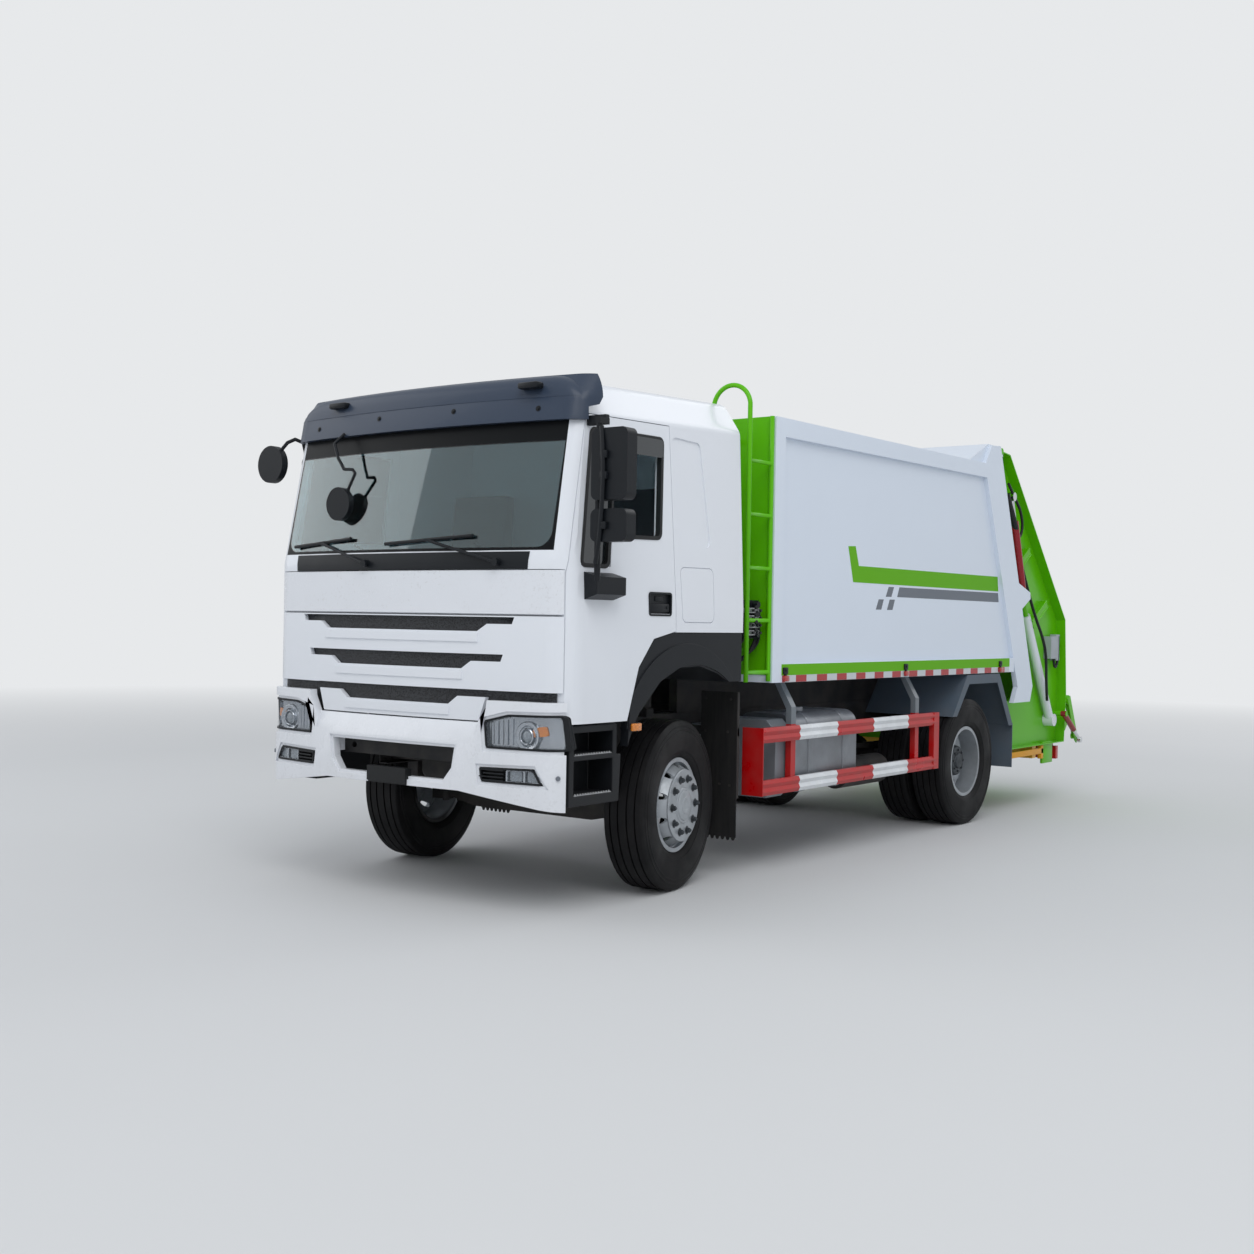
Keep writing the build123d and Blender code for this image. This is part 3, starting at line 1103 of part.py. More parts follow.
# A cylinder between a fixed pin and an eye: the barrel, then the rod
def barrel(x, base, eye, length, diameter, bore):
    """A barrel from its base pin towards the eye, bored for the rod."""
    reach = hypot(eye[0] - base[0], eye[1] - base[1])
    way = ((eye[0] - base[0]) / reach, (eye[1] - base[1]) / reach)
    cross_tube(*base, diameter, x - diameter / 2 + 4, x + diameter / 2 - 4)
    rod((x, *base), (x, base[0] + way[0] * length, base[1] + way[1] * length), diameter)
    rod((x, base[0] + way[0] * 55, base[1] + way[1] * 55),
        (x, base[0] + way[0] * (length + 5), base[1] + way[1] * (length + 5)), bore, mode=Mode.SUBTRACT)


def ram(x, base, eye, tail, diameter, eye_diameter, eye_width):
    """A rod from its eye back to a point tail from the base pin."""
    reach = hypot(eye[0] - base[0], eye[1] - base[1])
    way = ((eye[0] - base[0]) / reach, (eye[1] - base[1]) / reach)
    rod((x, base[0] + way[0] * tail, base[1] + way[1] * tail), (x, *eye), diameter)
    cross_tube(*eye, eye_diameter, x - eye_width / 2, x + eye_width / 2)


# Red cylinders that lift the tailgate
lift_barrel_length = 720
with BuildPart() as lift_barrels:
    for name, side in sides:
        barrel(side * lift_x, lift_base, lift_eye, lift_barrel_length, 80, lift_rod_diameter + 1)
        cross_tube(*lift_base, 50.6, side * 1100, side * 1300, mode=Mode.SUBTRACT)
save(lift_barrels, "lift_barrels")
with BuildPart() as lift_rods:
    for name, side in sides:
        ram(side * lift_x, lift_base, lift_eye, 75, lift_rod_diameter, 80, 72)
save(lift_rods, "lift_rods")

# Bin lifter at the sill, with its own pair of cylinders
lifter_barrel_length = 320
with BuildPart() as lifter_barrels:
    for name, side in sides:
        barrel(side * lifter_x, lifter_base, lifter_eye, lifter_barrel_length, 56, 31)
        cross_tube(*lifter_base, 50.6, side * 1100, side * 1300, mode=Mode.SUBTRACT)
save(lifter_barrels, "lifter_barrels")
with BuildPart() as lifter_rods:
    for name, side in sides:
        ram(side * lifter_x, lifter_base, lifter_eye, 70, 30, 60, 34)
save(lifter_rods, "lifter_rods")
lifter_tip_y = tail_y + tail_length
with BuildPart() as bin_lifter:
    cross_tube(*lifter_pivot, 70, -1145, 1145)
    for name, side in sides:
        side_prism([(lifter_pivot[0] - 25, lifter_pivot[1] + 38), (lifter_pivot[0] + 38,
                                                                   lifter_pivot[1] + 32),
                    (lifter_tip_y - 20, 760), (lifter_tip_y, 700), (lifter_tip_y - 60, 640),
                    (lifter_pivot[0] - 10, lifter_pivot[1] - 45)], side * 925, side * 945)
        # Cranks outboard of the side plates that the cylinders push
        side_prism([(lifter_pivot[0] - 40, lifter_pivot[1] + 10), (lifter_pivot[0] + 30,
                                                                   lifter_pivot[1] + 40),
                    (lifter_eye[0] + 40, lifter_eye[1] + 20), (lifter_eye[0] + 10, lifter_eye[1] - 36),
                    (lifter_eye[0] - 36, lifter_eye[1] - 10)], side * 1145, side * 1154)
    # Back plate with its comb of teeth
    side_prism([(lifter_pivot[0] + 70, 960), (lifter_pivot[0] + 80, 972), (lifter_tip_y - 60, 730),
                (lifter_tip_y - 70, 718)], -925, 925)
    cross_tube(lifter_tip_y - 70, 705, 60, -925, 925)
    for count in range(9):
        x_tooth = -800 + count * 200
        side_prism([(lifter_tip_y - 95, 725), (lifter_tip_y - 75, 815), (lifter_tip_y - 35, 800),
                    (lifter_tip_y - 55, 710)], x_tooth - 25, x_tooth + 25)
save(bin_lifter, "bin_lifter")

# Underrun bar, tail lamps and control box on the tailgate
with BuildPart() as underrun_bar:
    block((-1100, 1100), (blade_y - 45, blade_y + 45), (444, 563))
    for side in (-1, 1):
        block((side * 450, side * 520), (blade_y - 45, blade_y + 45), (560, blade_z - hopper_radius - 12.3))
save(underrun_bar, "underrun_bar")
with BuildPart() as tail_lamps:
    for name, side in sides:
        block((side * 850, side * 1100), (tail_y + 1860, tail_y + 1920), (400, 530))
        block((side * (side_plate_x - 10), side * side_plate_x), (tail_y + 1700, tail_y + 1920),
              (400, 567.7))
save(tail_lamps, "tail_lamps")
with BuildPart() as control_box:
    block((side_plate_x + 0.3, side_plate_x + 80), (tail_y + 1610, tail_y + 1770), (1400, 1620))
    block((side_plate_x + 0.3, side_plate_x + 70), (tail_y + 1770, tail_y + 1860), (1380, 1640))
save(control_box, "control_box")

# Bulkhead, ladder and valve block in the gap behind the cab
with BuildPart() as bulkhead:
    block((-1210, 1210), (body_front_y - 6, body_front_y), (body_bottom_z + 52, body_top_z))
    for x_rib in (-1150, -600, 0, 600):
        block((x_rib - 40, x_rib + 40), (body_front_y - 66, body_front_y - 6),
              (body_bottom_z + 52, body_top_z - 100))
save(bulkhead, "bulkhead")
ladder_x = cab_width / 2 - 20
ladder_near = body_front_y - 305
ladder_far = body_front_y - 22.3
with BuildPart() as ladder:
    rod((ladder_x, ladder_near, 1310), (ladder_x, ladder_near, 3167), 32)
    rod((ladder_x, ladder_far, 1310), (ladder_x, ladder_far, 3116), 32)
    for z_rung in (1374, 1724, 2075, 2434, 2791):
        rod((ladder_x, ladder_near, z_rung), (ladder_x, ladder_far, z_rung), 28)
    with BuildLine() as hoop:
        Line((ladder_x, ladder_near, 3160), (ladder_x, ladder_near, 3170))
        ThreePointArc((ladder_x, ladder_near, 3170), (ladder_x - 145, ladder_near, 3315 - 16),
                      (ladder_x - 290, ladder_near, 3170))
        Line((ladder_x - 290, ladder_near, 3170), (ladder_x - 290, ladder_near, 2950))
    with BuildSketch(Plane(origin=(ladder_x, ladder_near, 3160), z_dir=(0, 0, 1))) as tube:
        Circle(16)
    sweep(tube.sketch, path=hoop.wire())
    rod((ladder_x - 290, ladder_near, 2966), (ladder_x - 290, body_front_y - 6.3, 2966), 30)
save(ladder, "ladder")
with BuildPart() as valve_block:
    block((960, 1170), (body_front_y - 200, body_front_y - 60), (1600, 1860))
    block((990, 1140), (body_front_y - 60, body_front_y - 6.3), (1640, 1820))
    for z_coil in (1630, 1700, 1770, 1830):
        rod((1170, body_front_y - 130, z_coil), (1215, body_front_y - 130, z_coil), 44)
save(valve_block, "valve_block")


# Wipers
def screen_y(x, z):
    """Where the windscreen's outer face lies."""
    return front_y + cab_nose + cab_bow * (2 * x / cab_width) ** 2 + screen_lean * max(z - screen_foot_z, 0)


wiper_seat = cowl_wall - 0.7
with BuildPart() as wipers:
    for pivot_x, tip_low, tip_high in ((786, (-101, 2150), (590, 2190)),
                                       (-260, (-1018, 2150), (-429, 2190))):
        middle = ((tip_low[0] + tip_high[0]) / 2, (tip_low[1] + tip_high[1]) / 2)
        rod((pivot_x, screen_y(pivot_x, 2033) - 30, 2033), (middle[0], screen_y(*middle) - 34, middle[1]),
            18)
        rod((tip_low[0], screen_y(*tip_low) - 20, tip_low[1]), (tip_high[0], screen_y(*tip_high) - 20,
                                                                tip_high[1]), 22)
        rod((pivot_x, screen_y(pivot_x, 2033) - 38, 2033), (pivot_x, screen_y(pivot_x, 2033) - wiper_seat,
                                                            2033), 44)
    for piece in (cab_outer, cowl.part):
        add(piece, mode=Mode.SUBTRACT)
save(wipers, "wipers")
# A round mirror hung before the screen's right-hand side, for the view ahead of the bumper
front_mirror_arm = ((-640, 205, 2870), (-640, 125, 2800), (-580, 105, 2700), (-520, 100, 2630),
                    (-442, 100, 2624),
                    (-418, 100, 2600), (-480, 95, 2490))
with BuildPart() as corner_mirrors:
    route = [(x, front_y + s, z) for x, s, z in front_mirror_arm]
    for start, end in zip(route, route[1:]):
        rod(start, end, 20)
        with Locations(end):
            Sphere(10)
    rod((-548, front_y + 75, 2411), (-548, front_y + 115, 2411), 210)
    for piece in (cab_outer, sun_visor.part):
        add(piece, mode=Mode.SUBTRACT)
save(corner_mirrors, "corner_mirrors")
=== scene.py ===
import bpy
import bmesh
import json
from math import cos, pi, radians, sin
from mathutils import Matrix, Vector


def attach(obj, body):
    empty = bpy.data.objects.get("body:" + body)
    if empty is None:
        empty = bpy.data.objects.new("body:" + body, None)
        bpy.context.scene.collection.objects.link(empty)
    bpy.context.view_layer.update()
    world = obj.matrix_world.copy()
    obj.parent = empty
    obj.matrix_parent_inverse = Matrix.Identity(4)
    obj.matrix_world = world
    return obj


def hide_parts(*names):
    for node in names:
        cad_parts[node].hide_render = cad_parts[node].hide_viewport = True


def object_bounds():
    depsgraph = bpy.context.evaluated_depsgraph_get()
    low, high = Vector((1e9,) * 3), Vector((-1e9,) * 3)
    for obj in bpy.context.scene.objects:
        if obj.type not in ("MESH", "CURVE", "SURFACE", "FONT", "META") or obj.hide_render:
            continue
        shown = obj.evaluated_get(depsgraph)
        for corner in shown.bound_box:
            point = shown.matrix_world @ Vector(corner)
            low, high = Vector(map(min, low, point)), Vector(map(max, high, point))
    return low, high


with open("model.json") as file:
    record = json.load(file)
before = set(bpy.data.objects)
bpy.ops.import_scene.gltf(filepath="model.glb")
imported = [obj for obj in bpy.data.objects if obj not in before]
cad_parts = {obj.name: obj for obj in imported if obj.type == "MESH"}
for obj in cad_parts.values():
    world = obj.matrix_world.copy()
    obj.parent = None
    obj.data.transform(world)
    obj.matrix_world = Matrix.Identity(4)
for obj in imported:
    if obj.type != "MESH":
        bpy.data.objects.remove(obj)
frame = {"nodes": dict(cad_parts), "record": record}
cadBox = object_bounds()
nodes = frame["nodes"]
slotOf = {row["node"]: row["material_slot"] for row in frame["record"]["subparts"]}
bodyOf = {node: body for body, members in frame["record"]["behaviour"]["bodies"].items() for node in members}
frontY = cadBox[0][1]          # the bumper's face
print("frame loaded:", len(nodes), "nodes")

# Camera at the photo's viewpoint: distances from the bumper's face and the truck's middle
view = {
    "place": (6.477, -6.209, 1.711),
    "yaw": 36.97,
    "pitch": -0.27,
    "roll": 0.97,
    "lens": 42.18,
    "sensor": 36.0,
}


def placeCamera():
    yaw, pitch, roll = (radians(view[key]) for key in ("yaw", "pitch", "roll"))
    ahead = Vector((-sin(yaw) * cos(pitch), cos(yaw) * cos(pitch), sin(pitch)))
    level = Vector((cos(yaw), sin(yaw), 0))
    up = level.cross(ahead)
    right = level * cos(roll) + up * sin(roll)
    top = up * cos(roll) - level * sin(roll)
    data = bpy.data.cameras.new("photoCamera")
    data.lens = view["lens"]
    data.sensor_width = view["sensor"]
    data.clip_end = 200
    camera = bpy.data.objects.new("photoCamera", data)
    bpy.context.scene.collection.objects.link(camera)
    turn = Matrix((right, top, -ahead)).transposed().to_4x4()
    x, y, z = view["place"]
    camera.matrix_world = Matrix.Translation((x, y + frontY, z)) @ turn
    bpy.context.scene.camera = camera


placeCamera()
print("camera placed")


# Shader maths: an expression on wrapped sockets adds its Math nodes
def operator(operation, swapped=False):
    def method(self, other=0.0):
        return self.join(operation, other, self) if swapped else self.join(operation, self, other)
    return method


class Wave:
    def __init__(self, tree, socket):
        self.tree = tree
        self.socket = socket

    def join(self, operation, first, second=0.0, third=0.0, clamp=False):
        node = self.tree.nodes.new("ShaderNodeMath")
        node.operation = operation
        node.use_clamp = clamp
        for slot, value in zip(node.inputs, (first, second, third)):
            if isinstance(value, Wave):
                self.tree.links.new(value.socket, slot)
            else:
                slot.default_value = value
        return Wave(self.tree, node.outputs[0])

    __add__ = operator("ADD")
    __radd__ = operator("ADD", True)
    __sub__ = operator("SUBTRACT")
    __rsub__ = operator("SUBTRACT", True)
    __mul__ = operator("MULTIPLY")
    __rmul__ = operator("MULTIPLY", True)
    __abs__ = operator("ABSOLUTE")
    wrap = operator("FLOORED_MODULO")
    larger = operator("MAXIMUM")
    root = operator("SQRT")
    sine = operator("SINE")

    def above(self, edge, soft=0.001):
        return self.join("MULTIPLY_ADD", self, 1 / soft, 0.5 - edge / soft, clamp=True)

    def below(self, edge, soft=0.001):
        return self.join("MULTIPLY_ADD", self, -1 / soft, 0.5 + edge / soft, clamp=True)

    def between(self, low, high, soft=0.001):
        return self.above(low, soft) * self.below(high, soft)

    def clamped(self):
        return self.join("ADD", self, 0.0, clamp=True)


# A principled material on Object coordinates; its other sockets come with underscores in their names
class Finish:
    def __init__(self, name, color, roughness=0.5, **sockets):
        self.material = bpy.data.materials.new(name)
        self.material.use_nodes = True
        self.tree = self.material.node_tree
        self.shader = self.tree.nodes["Principled BSDF"]
        self.shader.inputs["Base Color"].default_value = (*color, 1)
        self.shader.inputs["Roughness"].default_value = roughness
        for key, value in sockets.items():
            self.shader.inputs[key.replace("_", " ")].default_value = value
        self.spot = self.node("ShaderNodeTexCoord").outputs["Object"]
        split = self.node("ShaderNodeSeparateXYZ", sockets={0: self.spot})
        self.x, self.y, self.z = (Wave(self.tree, split.outputs[i]) for i in range(3))

    def node(self, kind, settings=None, sockets=None):
        node = self.tree.nodes.new(kind)
        for key, value in (settings or {}).items():
            setattr(node, key, value)
        for key, value in (sockets or {}).items():
            if isinstance(value, Wave):
                value = value.socket
            if isinstance(value, bpy.types.NodeSocket):
                self.tree.links.new(value, node.inputs[key])
            else:
                node.inputs[key].default_value = value
        return node

    def texture(self, kind, stretch, **sockets):
        place = self.node("ShaderNodeMapping", sockets={"Vector": self.spot, "Scale": stretch})
        node = self.node(kind, sockets={"Vector": place.outputs[0], **sockets})
        return Wave(self.tree, node.outputs[0])

    def noise(self, scale, detail=3.0, stretch=(1, 1, 1)):
        return self.texture("ShaderNodeTexNoise", stretch, Scale=scale, Detail=detail, Roughness=0.55)

    def cells(self, scale, stretch=(1, 1, 1)):
        return self.texture("ShaderNodeTexVoronoi", stretch, Scale=scale)

    def blend(self, mask, first, second):
        ends = [end if isinstance(end, bpy.types.NodeSocket) else (*end, 1) for end in (first, second)]
        return self.node("ShaderNodeMix", {"data_type": "RGBA"},
                         dict(zip((0, 6, 7), (mask, *ends)))).outputs[2]

    def feed(self, key, value):
        self.tree.links.new(value.socket if isinstance(value, Wave) else value, self.shader.inputs[key])

    # Colour, roughness and a bump of height, distance and strength
    def dressed(self, color=None, roughness=None, bump=None):
        if color is not None:
            self.feed("Base Color", color)
        if roughness is not None:
            self.feed("Roughness", roughness.clamped())
        if bump is not None:
            sockets = dict(zip(("Height", "Distance", "Strength"), bump))
            self.feed("Normal", self.node("ShaderNodeBump", sockets=sockets).outputs[0])
        return self

    # Another shader over this one, where the mask is one
    def cover(self, mask, kind, sockets):
        over = self.node(kind, sockets=sockets)
        shaders = {0: mask, 1: self.shader.outputs[0], 2: over.outputs[0]}
        mix = self.node("ShaderNodeMixShader", sockets=shaders)
        self.tree.links.new(mix.outputs[0], self.tree.nodes["Material Output"].inputs[0])


def tinted(color, share):
    return tuple(max(0.0, min(1.0, part * share)) for part in color)


roadDirt = (0.16, 0.14, 0.12)


# Gloss paint with a faint orange peel, and dirt that gathers low down and in specks
def glossPaint(name, color, roughness, dirt=0.25, specks=0.0, coat=0.3, shine=0.35):
    paint = Finish(name, color, roughness, Coat_Weight=coat, Coat_Roughness=0.08, Specular_IOR_Level=shine)
    cloud = paint.noise(1.7, 4)
    streak = paint.noise(3.0, 3, (3, 3, 0.25))
    film = (paint.z.below(0.9, 1.1) * (cloud * 0.9 + streak * 0.6 - 0.15)).clamped() * dirt
    if specks:
        grit = paint.noise(55).above(0.6, 0.12) * paint.noise(4, 2).above(0.45, 0.3)
        film = (film + grit * specks).clamped()
    tone = paint.blend(cloud * 0.35, tinted(color, 1.03), tinted(color, 0.94))
    return paint.dressed(paint.blend(film, tone, roadDirt), film * 0.5 + cloud * 0.06 + roughness - 0.03,
                         (paint.noise(160, 2), 0.00006, 0.25))


# Dull paint or cast surface: uneven tone, grime in clouds, fine bump
def dullPaint(name, color, roughness, grime, metallic=0.0):
    paint = Finish(name, color, roughness, Metallic=metallic, Specular_IOR_Level=0.3)
    film = (paint.noise(5, 5).above(0.52, 0.3) * grime + paint.z.below(0.6, 0.7) * grime * 0.6).clamped()
    tone = paint.blend(paint.noise(2.2), tinted(color, 0.8), tinted(color, 1.2))
    return paint.dressed(paint.blend(film, tone, roadDirt), film * 0.35 + roughness,
                         (paint.noise(220), 0.0006, 0.5))


# Moulded plastic: fine leather-like grain and a grey bloom
def grainPlastic(name, color, roughness, grain=420):
    plastic = Finish(name, color, roughness, Specular_IOR_Level=0.3)
    cloud = plastic.noise(3.2, 4)
    film = (plastic.z.below(0.8, 1.0) * cloud * 0.22).clamped()
    tone = plastic.blend(cloud * 0.5, tinted(color, 0.85), tinted(color, 1.35))
    return plastic.dressed(plastic.blend(film, tone, tinted(roadDirt, 0.5)), cloud * 0.2 + roughness - 0.08,
                           (plastic.cells(grain), 0.0005, 0.4))


def machinedSteel(name, color, roughness):
    steel = Finish(name, color, roughness, Metallic=0.8)
    cloud = steel.noise(14, 4)
    return steel.dressed(steel.blend(cloud.above(0.5, 0.3) * 0.5, color, tinted(color, 0.45)),
                         cloud * 0.3 + roughness - 0.1, (steel.noise(300, 2), 0.0004, 0.4))


def lampLens(name, color):
    lens = Finish(name, color, 0.12, Coat_Weight=1.0, Coat_Roughness=0.03)
    prisms = lens.cells(170)
    tone = lens.blend(prisms.above(0.35, 0.3), tinted(color, 1.25), tinted(color, 0.7))
    return lens.dressed(tone, bump=(prisms, 0.0012, 0.6))


# Glass or polished metal whose roughness is low plus haze times a noise
def smoothFinish(name, color, scale, haze, low=0.0, detail=3, **sockets):
    smooth = Finish(name, color, **sockets)
    return smooth.dressed(roughness=smooth.noise(scale, detail) * haze + low)


# Wheels: near-black painted shade on the sides that face the axle
axleSideShade = {"from": 0.94, "fade": 0.04, "color": (0.01, 0.01, 0.011)}


def silverPaint():
    paint = Finish("wheelSilver", (0.4, 0.43, 0.46), 0.34, Metallic=0.55, Coat_Weight=0.2)
    film = (paint.noise(7, 4).above(0.5, 0.25) * 0.22).clamped()
    # Painted shade: near black on the wheel sides nearer the axle, the inner dual wheels all over
    inner = abs(paint.x).below(axleSideShade["from"], axleSideShade["fade"])
    tone = paint.blend(film, (0.42, 0.45, 0.48), (0.14, 0.14, 0.14))
    return paint.dressed(paint.blend(inner, tone, axleSideShade["color"]), film * 0.8 + 0.32,
                         (paint.noise(260, 2), 0.0003, 0.4))


def tankSheet():
    sheet = Finish("tankSheet", (0.3, 0.32, 0.34), 0.38, Metallic=0.85)
    brush = sheet.noise(60, 3, (12, 0.4, 12))
    cloud = sheet.noise(3, 4)
    tone = sheet.blend(cloud.above(0.5, 0.35) * 0.5, (0.33, 0.35, 0.38), (0.16, 0.165, 0.17))
    return sheet.dressed(tone, brush * 0.25 + cloud * 0.2 + 0.2, (brush, 0.0003, 0.4))


def tyreRubber():
    rubber = Finish("tyreRubber", (0.006, 0.006, 0.007), 0.6, Specular_IOR_Level=0.2)
    damp = rubber.noise(2.4).above(0.5, 0.2)
    dust = (rubber.noise(6, 5).above(0.5, 0.3) * 0.16).clamped()
    return rubber.dressed(rubber.blend(dust, (0.005, 0.005, 0.006), (0.04, 0.038, 0.036)), 0.68 - damp * 0.22,
                          (rubber.noise(380), 0.0007, 0.5))


def sheetRubber():
    rubber = Finish("sheetRubber", (0.012, 0.012, 0.013), 0.6, Specular_IOR_Level=0.3)
    streak = rubber.noise(8, 4, (6, 6, 0.5))
    tone = rubber.blend(streak.above(0.5, 0.3) * 0.2, (0.012, 0.012, 0.013), (0.06, 0.056, 0.05))
    return rubber.dressed(tone, streak * 0.3 + 0.45, (rubber.noise(150), 0.0008, 0.5))


def wovenCloth():
    cloth = Finish("seatCloth", (0.07, 0.075, 0.085), 0.9, Sheen_Weight=0.4)
    weave = (cloth.y * 900).sine() * (cloth.z * 900).sine()
    tone = cloth.blend((weave * 0.5 + 0.5).clamped(), (0.045, 0.05, 0.06), (0.1, 0.105, 0.12))
    return cloth.dressed(tone, bump=(weave, 0.0008, 0.6))


# Guard paint: red and white lengths along the truck, changing at these distances behind the bumper
guardPaint = {
    "changes": (2.792, 3.338, 3.903, 4.49),
    "strutFrom": 1.0,
    "red": (0.5, 0.0, 0.002),
    "white": (0.78, 0.81, 0.84),
    "strut": (0.17, 0.2, 0.225),
}


def redWhitePaint():
    paint = Finish("guardPaint", guardPaint["red"], 0.3, Coat_Weight=0.2, Specular_IOR_Level=0.3)
    first, second, third, fourth = (frontY + place for place in guardPaint["changes"])
    white = (paint.y.between(first, second) + paint.y.between(third, fourth)).clamped()
    film = (paint.noise(4, 4).above(0.5, 0.3) * 0.2).clamped()
    lengths = paint.blend(white, guardPaint["red"], guardPaint["white"])
    tone = paint.blend(paint.z.above(guardPaint["strutFrom"]), lengths, guardPaint["strut"])
    return paint.dressed(paint.blend(film, tone, roadDirt), film * 0.6 + 0.26,
                         (paint.noise(60, 2), 0.0003, 0.3))


# Reflective tape along the sill: red lengths at a steady step on white, with its fine cells
tapePaint = {"start": 2.706, "step": 0.2945, "red": (0.4, 0.0, 0.002), "white": (0.6, 0.63, 0.66)}


def reflectiveTape():
    tape = Finish("sillTape", tapePaint["white"], 0.3, Coat_Weight=0.5)
    red = (tape.y - (frontY + tapePaint["start"])).wrap(tapePaint["step"]).below(tapePaint["step"] / 2)
    cell = tape.cells(240)
    shade = tape.blend(cell.above(0.5, 0.4) * 0.25, tapePaint["white"], (0.45, 0.48, 0.52))
    return tape.dressed(tape.blend(red, shade, tapePaint["red"]), bump=(cell, 0.0003, 0.4))


# Windscreen: clear glass with a black printed border and a deeper band at the top
screen = {
    "half": 1.118,
    "low": 2.118,
    "high": 2.858,
    "corner": 0.09,
    "bandTop": 2.735,
    "print": {"Base Color": (0.006, 0.007, 0.008, 1), "Roughness": 0.35, "Specular IOR Level": 0.12},
}


def screenGlass():
    glass = smoothFinish("screenGlass", (0.5, 0.74, 0.78), 2.2, 0.06, detail=4, Transmission_Weight=1.0,
                         IOR=1.5, Coat_Weight=1.0, Coat_Roughness=0.0)
    corner = screen["corner"]
    middle = (screen["low"] + screen["high"]) / 2
    tall = (screen["high"] - screen["low"]) / 2
    away = (abs(glass.x) - (screen["half"] - corner)).larger(0.0)
    rise = (abs(glass.z - middle) - (tall - corner)).larger(0.0)
    border = (away * away + rise * rise).root().above(corner, 0.006)
    glass.cover((border + glass.z.above(screen["bandTop"], 0.01)).clamped(), "ShaderNodeBsdfPrincipled",
                screen["print"])
    return glass


def reflector():
    shine = Finish("lampReflector", (0.52, 0.55, 0.59), 0.16, Metallic=0.9)
    flutes = (shine.x * 260).sine() * 0.5 + 0.5
    return shine.dressed(None, shine.noise(30, 2) * 0.18 + 0.06, (flutes, 0.002, 0.35))


def honeycomb():
    mesh = Finish("meshPlastic", (0.012, 0.013, 0.015), 0.5)
    hole = mesh.cells(95, (1, 0.2, 1.3)).above(0.45, 0.08)
    return mesh.dressed(mesh.blend(hole, (0.004, 0.004, 0.005), (0.03, 0.032, 0.036)),
                        bump=(hole, 0.003, 0.8))


# The bumper's white paint, with the bare bracket of the number plate in black
plateHolder = {
    "half": 0.167,
    "low": 0.7,
    "high": 0.804,
    "back": 0.056,
    "black": {"Base Color": (0.01, 0.011, 0.012, 1), "Roughness": 0.45, "Specular IOR Level": 0.3},
}


def bumperPaint():
    paint = glossPaint("bumperPaint", (0.8, 0.825, 0.87), 0.24, specks=0.08)
    behind = (paint.y - frontY).below(plateHolder["back"], 0.0005)
    across = abs(paint.x).below(plateHolder["half"])
    level = paint.z.between(plateHolder["low"], plateHolder["high"])
    paint.cover(behind * across * level, "ShaderNodeBsdfPrincipled", plateHolder["black"])
    return paint


finishes = {
    "cab_white": glossPaint("cabWhite", (0.79, 0.82, 0.87), 0.2),
    "body_white": glossPaint("bodyWhite", (0.72, 0.79, 0.89), 0.3, 0.12),
    "green_paint": glossPaint("greenPaint", (0.115, 0.5, 0.001), 0.3, 0.1, coat=0.1, shine=0.25),
    "visor_paint": glossPaint("visorPaint", (0.034, 0.05, 0.082), 0.38, 0.0, coat=0.1, shine=0.3),
    "black_plastic": grainPlastic("blackPlastic", (0.006, 0.008, 0.011), 0.4),
    "frame_paint": dullPaint("framePaint", (0.012, 0.013, 0.015), 0.5, 0.2),
    "grey_paint": dullPaint("greyPaint", (0.085, 0.115, 0.15), 0.45, 0.15),
    "red_paint": redWhitePaint(),
    "yellow_paint": glossPaint("yellowPaint", (0.8, 0.42, 0.01), 0.35),
    "cylinder_white": glossPaint("cylinderWhite", (0.78, 0.82, 0.88), 0.22),
    "cylinder_red": glossPaint("cylinderRed", (0.28, 0.004, 0.012), 0.25),
    "wheel_silver": silverPaint(),
    "rod_chrome": smoothFinish("rodChrome", (0.78, 0.79, 0.81), 40, 0.16, 0.04, Metallic=1.0),
    "tank_metal": tankSheet(),
    "tyre": tyreRubber(),
    "rubber": sheetRubber(),
    "lamp_red": glossPaint("lampRed", (0.45, 0.01, 0.01), 0.12, 0.1),
    "seat_cloth": wovenCloth(),
    "dash_plastic": grainPlastic("dashPlastic", (0.1, 0.11, 0.12), 0.55),
    "box_grey": dullPaint("boxGrey", (0.4, 0.44, 0.47), 0.4, 0.15),
}
amberLens = lampLens("amberLens", (0.85, 0.26, 0.02))
redLens = lampLens("redLens", (0.5, 0.008, 0.008))
clearLens = lampLens("clearLens", (0.3, 0.34, 0.38))
zincSteel = machinedSteel("zincSteel", (0.5, 0.51, 0.52), 0.35)
darkSteel = machinedSteel("darkSteel", (0.09, 0.1, 0.11), 0.45)
stripeGreen = glossPaint("stripeGreen", (0.125, 0.44, 0.001), 0.45, 0.1, coat=0.0, shine=0.15)
stripeGrey = glossPaint("stripeGrey", (0.17, 0.19, 0.22), 0.45, 0.1, coat=0.0, shine=0.2)
guardYellow = glossPaint("yellowPaint", (0.8, 0.36, 0.004), 0.4, 0.2, coat=0.1, shine=0.25)
hoseRubber = grainPlastic("hoseRubber", (0.014, 0.015, 0.016), 0.45, 600)
clearCover = smoothFinish("clearCover", (0.3, 0.34, 0.38), 6, 0.08, Alpha=0.1, Coat_Weight=0.4)
darkGlass = smoothFinish("darkGlass", (0.01, 0.014, 0.016), 4, 0.1, Coat_Weight=1.0)
mirrorGlass = smoothFinish("mirrorGlass", (0.8, 0.82, 0.84), 5, 0.05, Metallic=1.0)
print("finishes made:", len(finishes))


def linked(mesh, name):
    piece = bpy.data.objects.new(name, mesh)
    bpy.context.scene.collection.objects.link(piece)
    return piece


def finished(mesh, sharp):
    mesh.polygons.foreach_set("use_smooth", [True] * len(mesh.polygons))
    mesh.set_sharp_from_angle(angle=radians(sharp))


def meshOf(form, name):
    mesh = bpy.data.meshes.new(name)
    form.to_mesh(mesh)
    form.free()
    return mesh


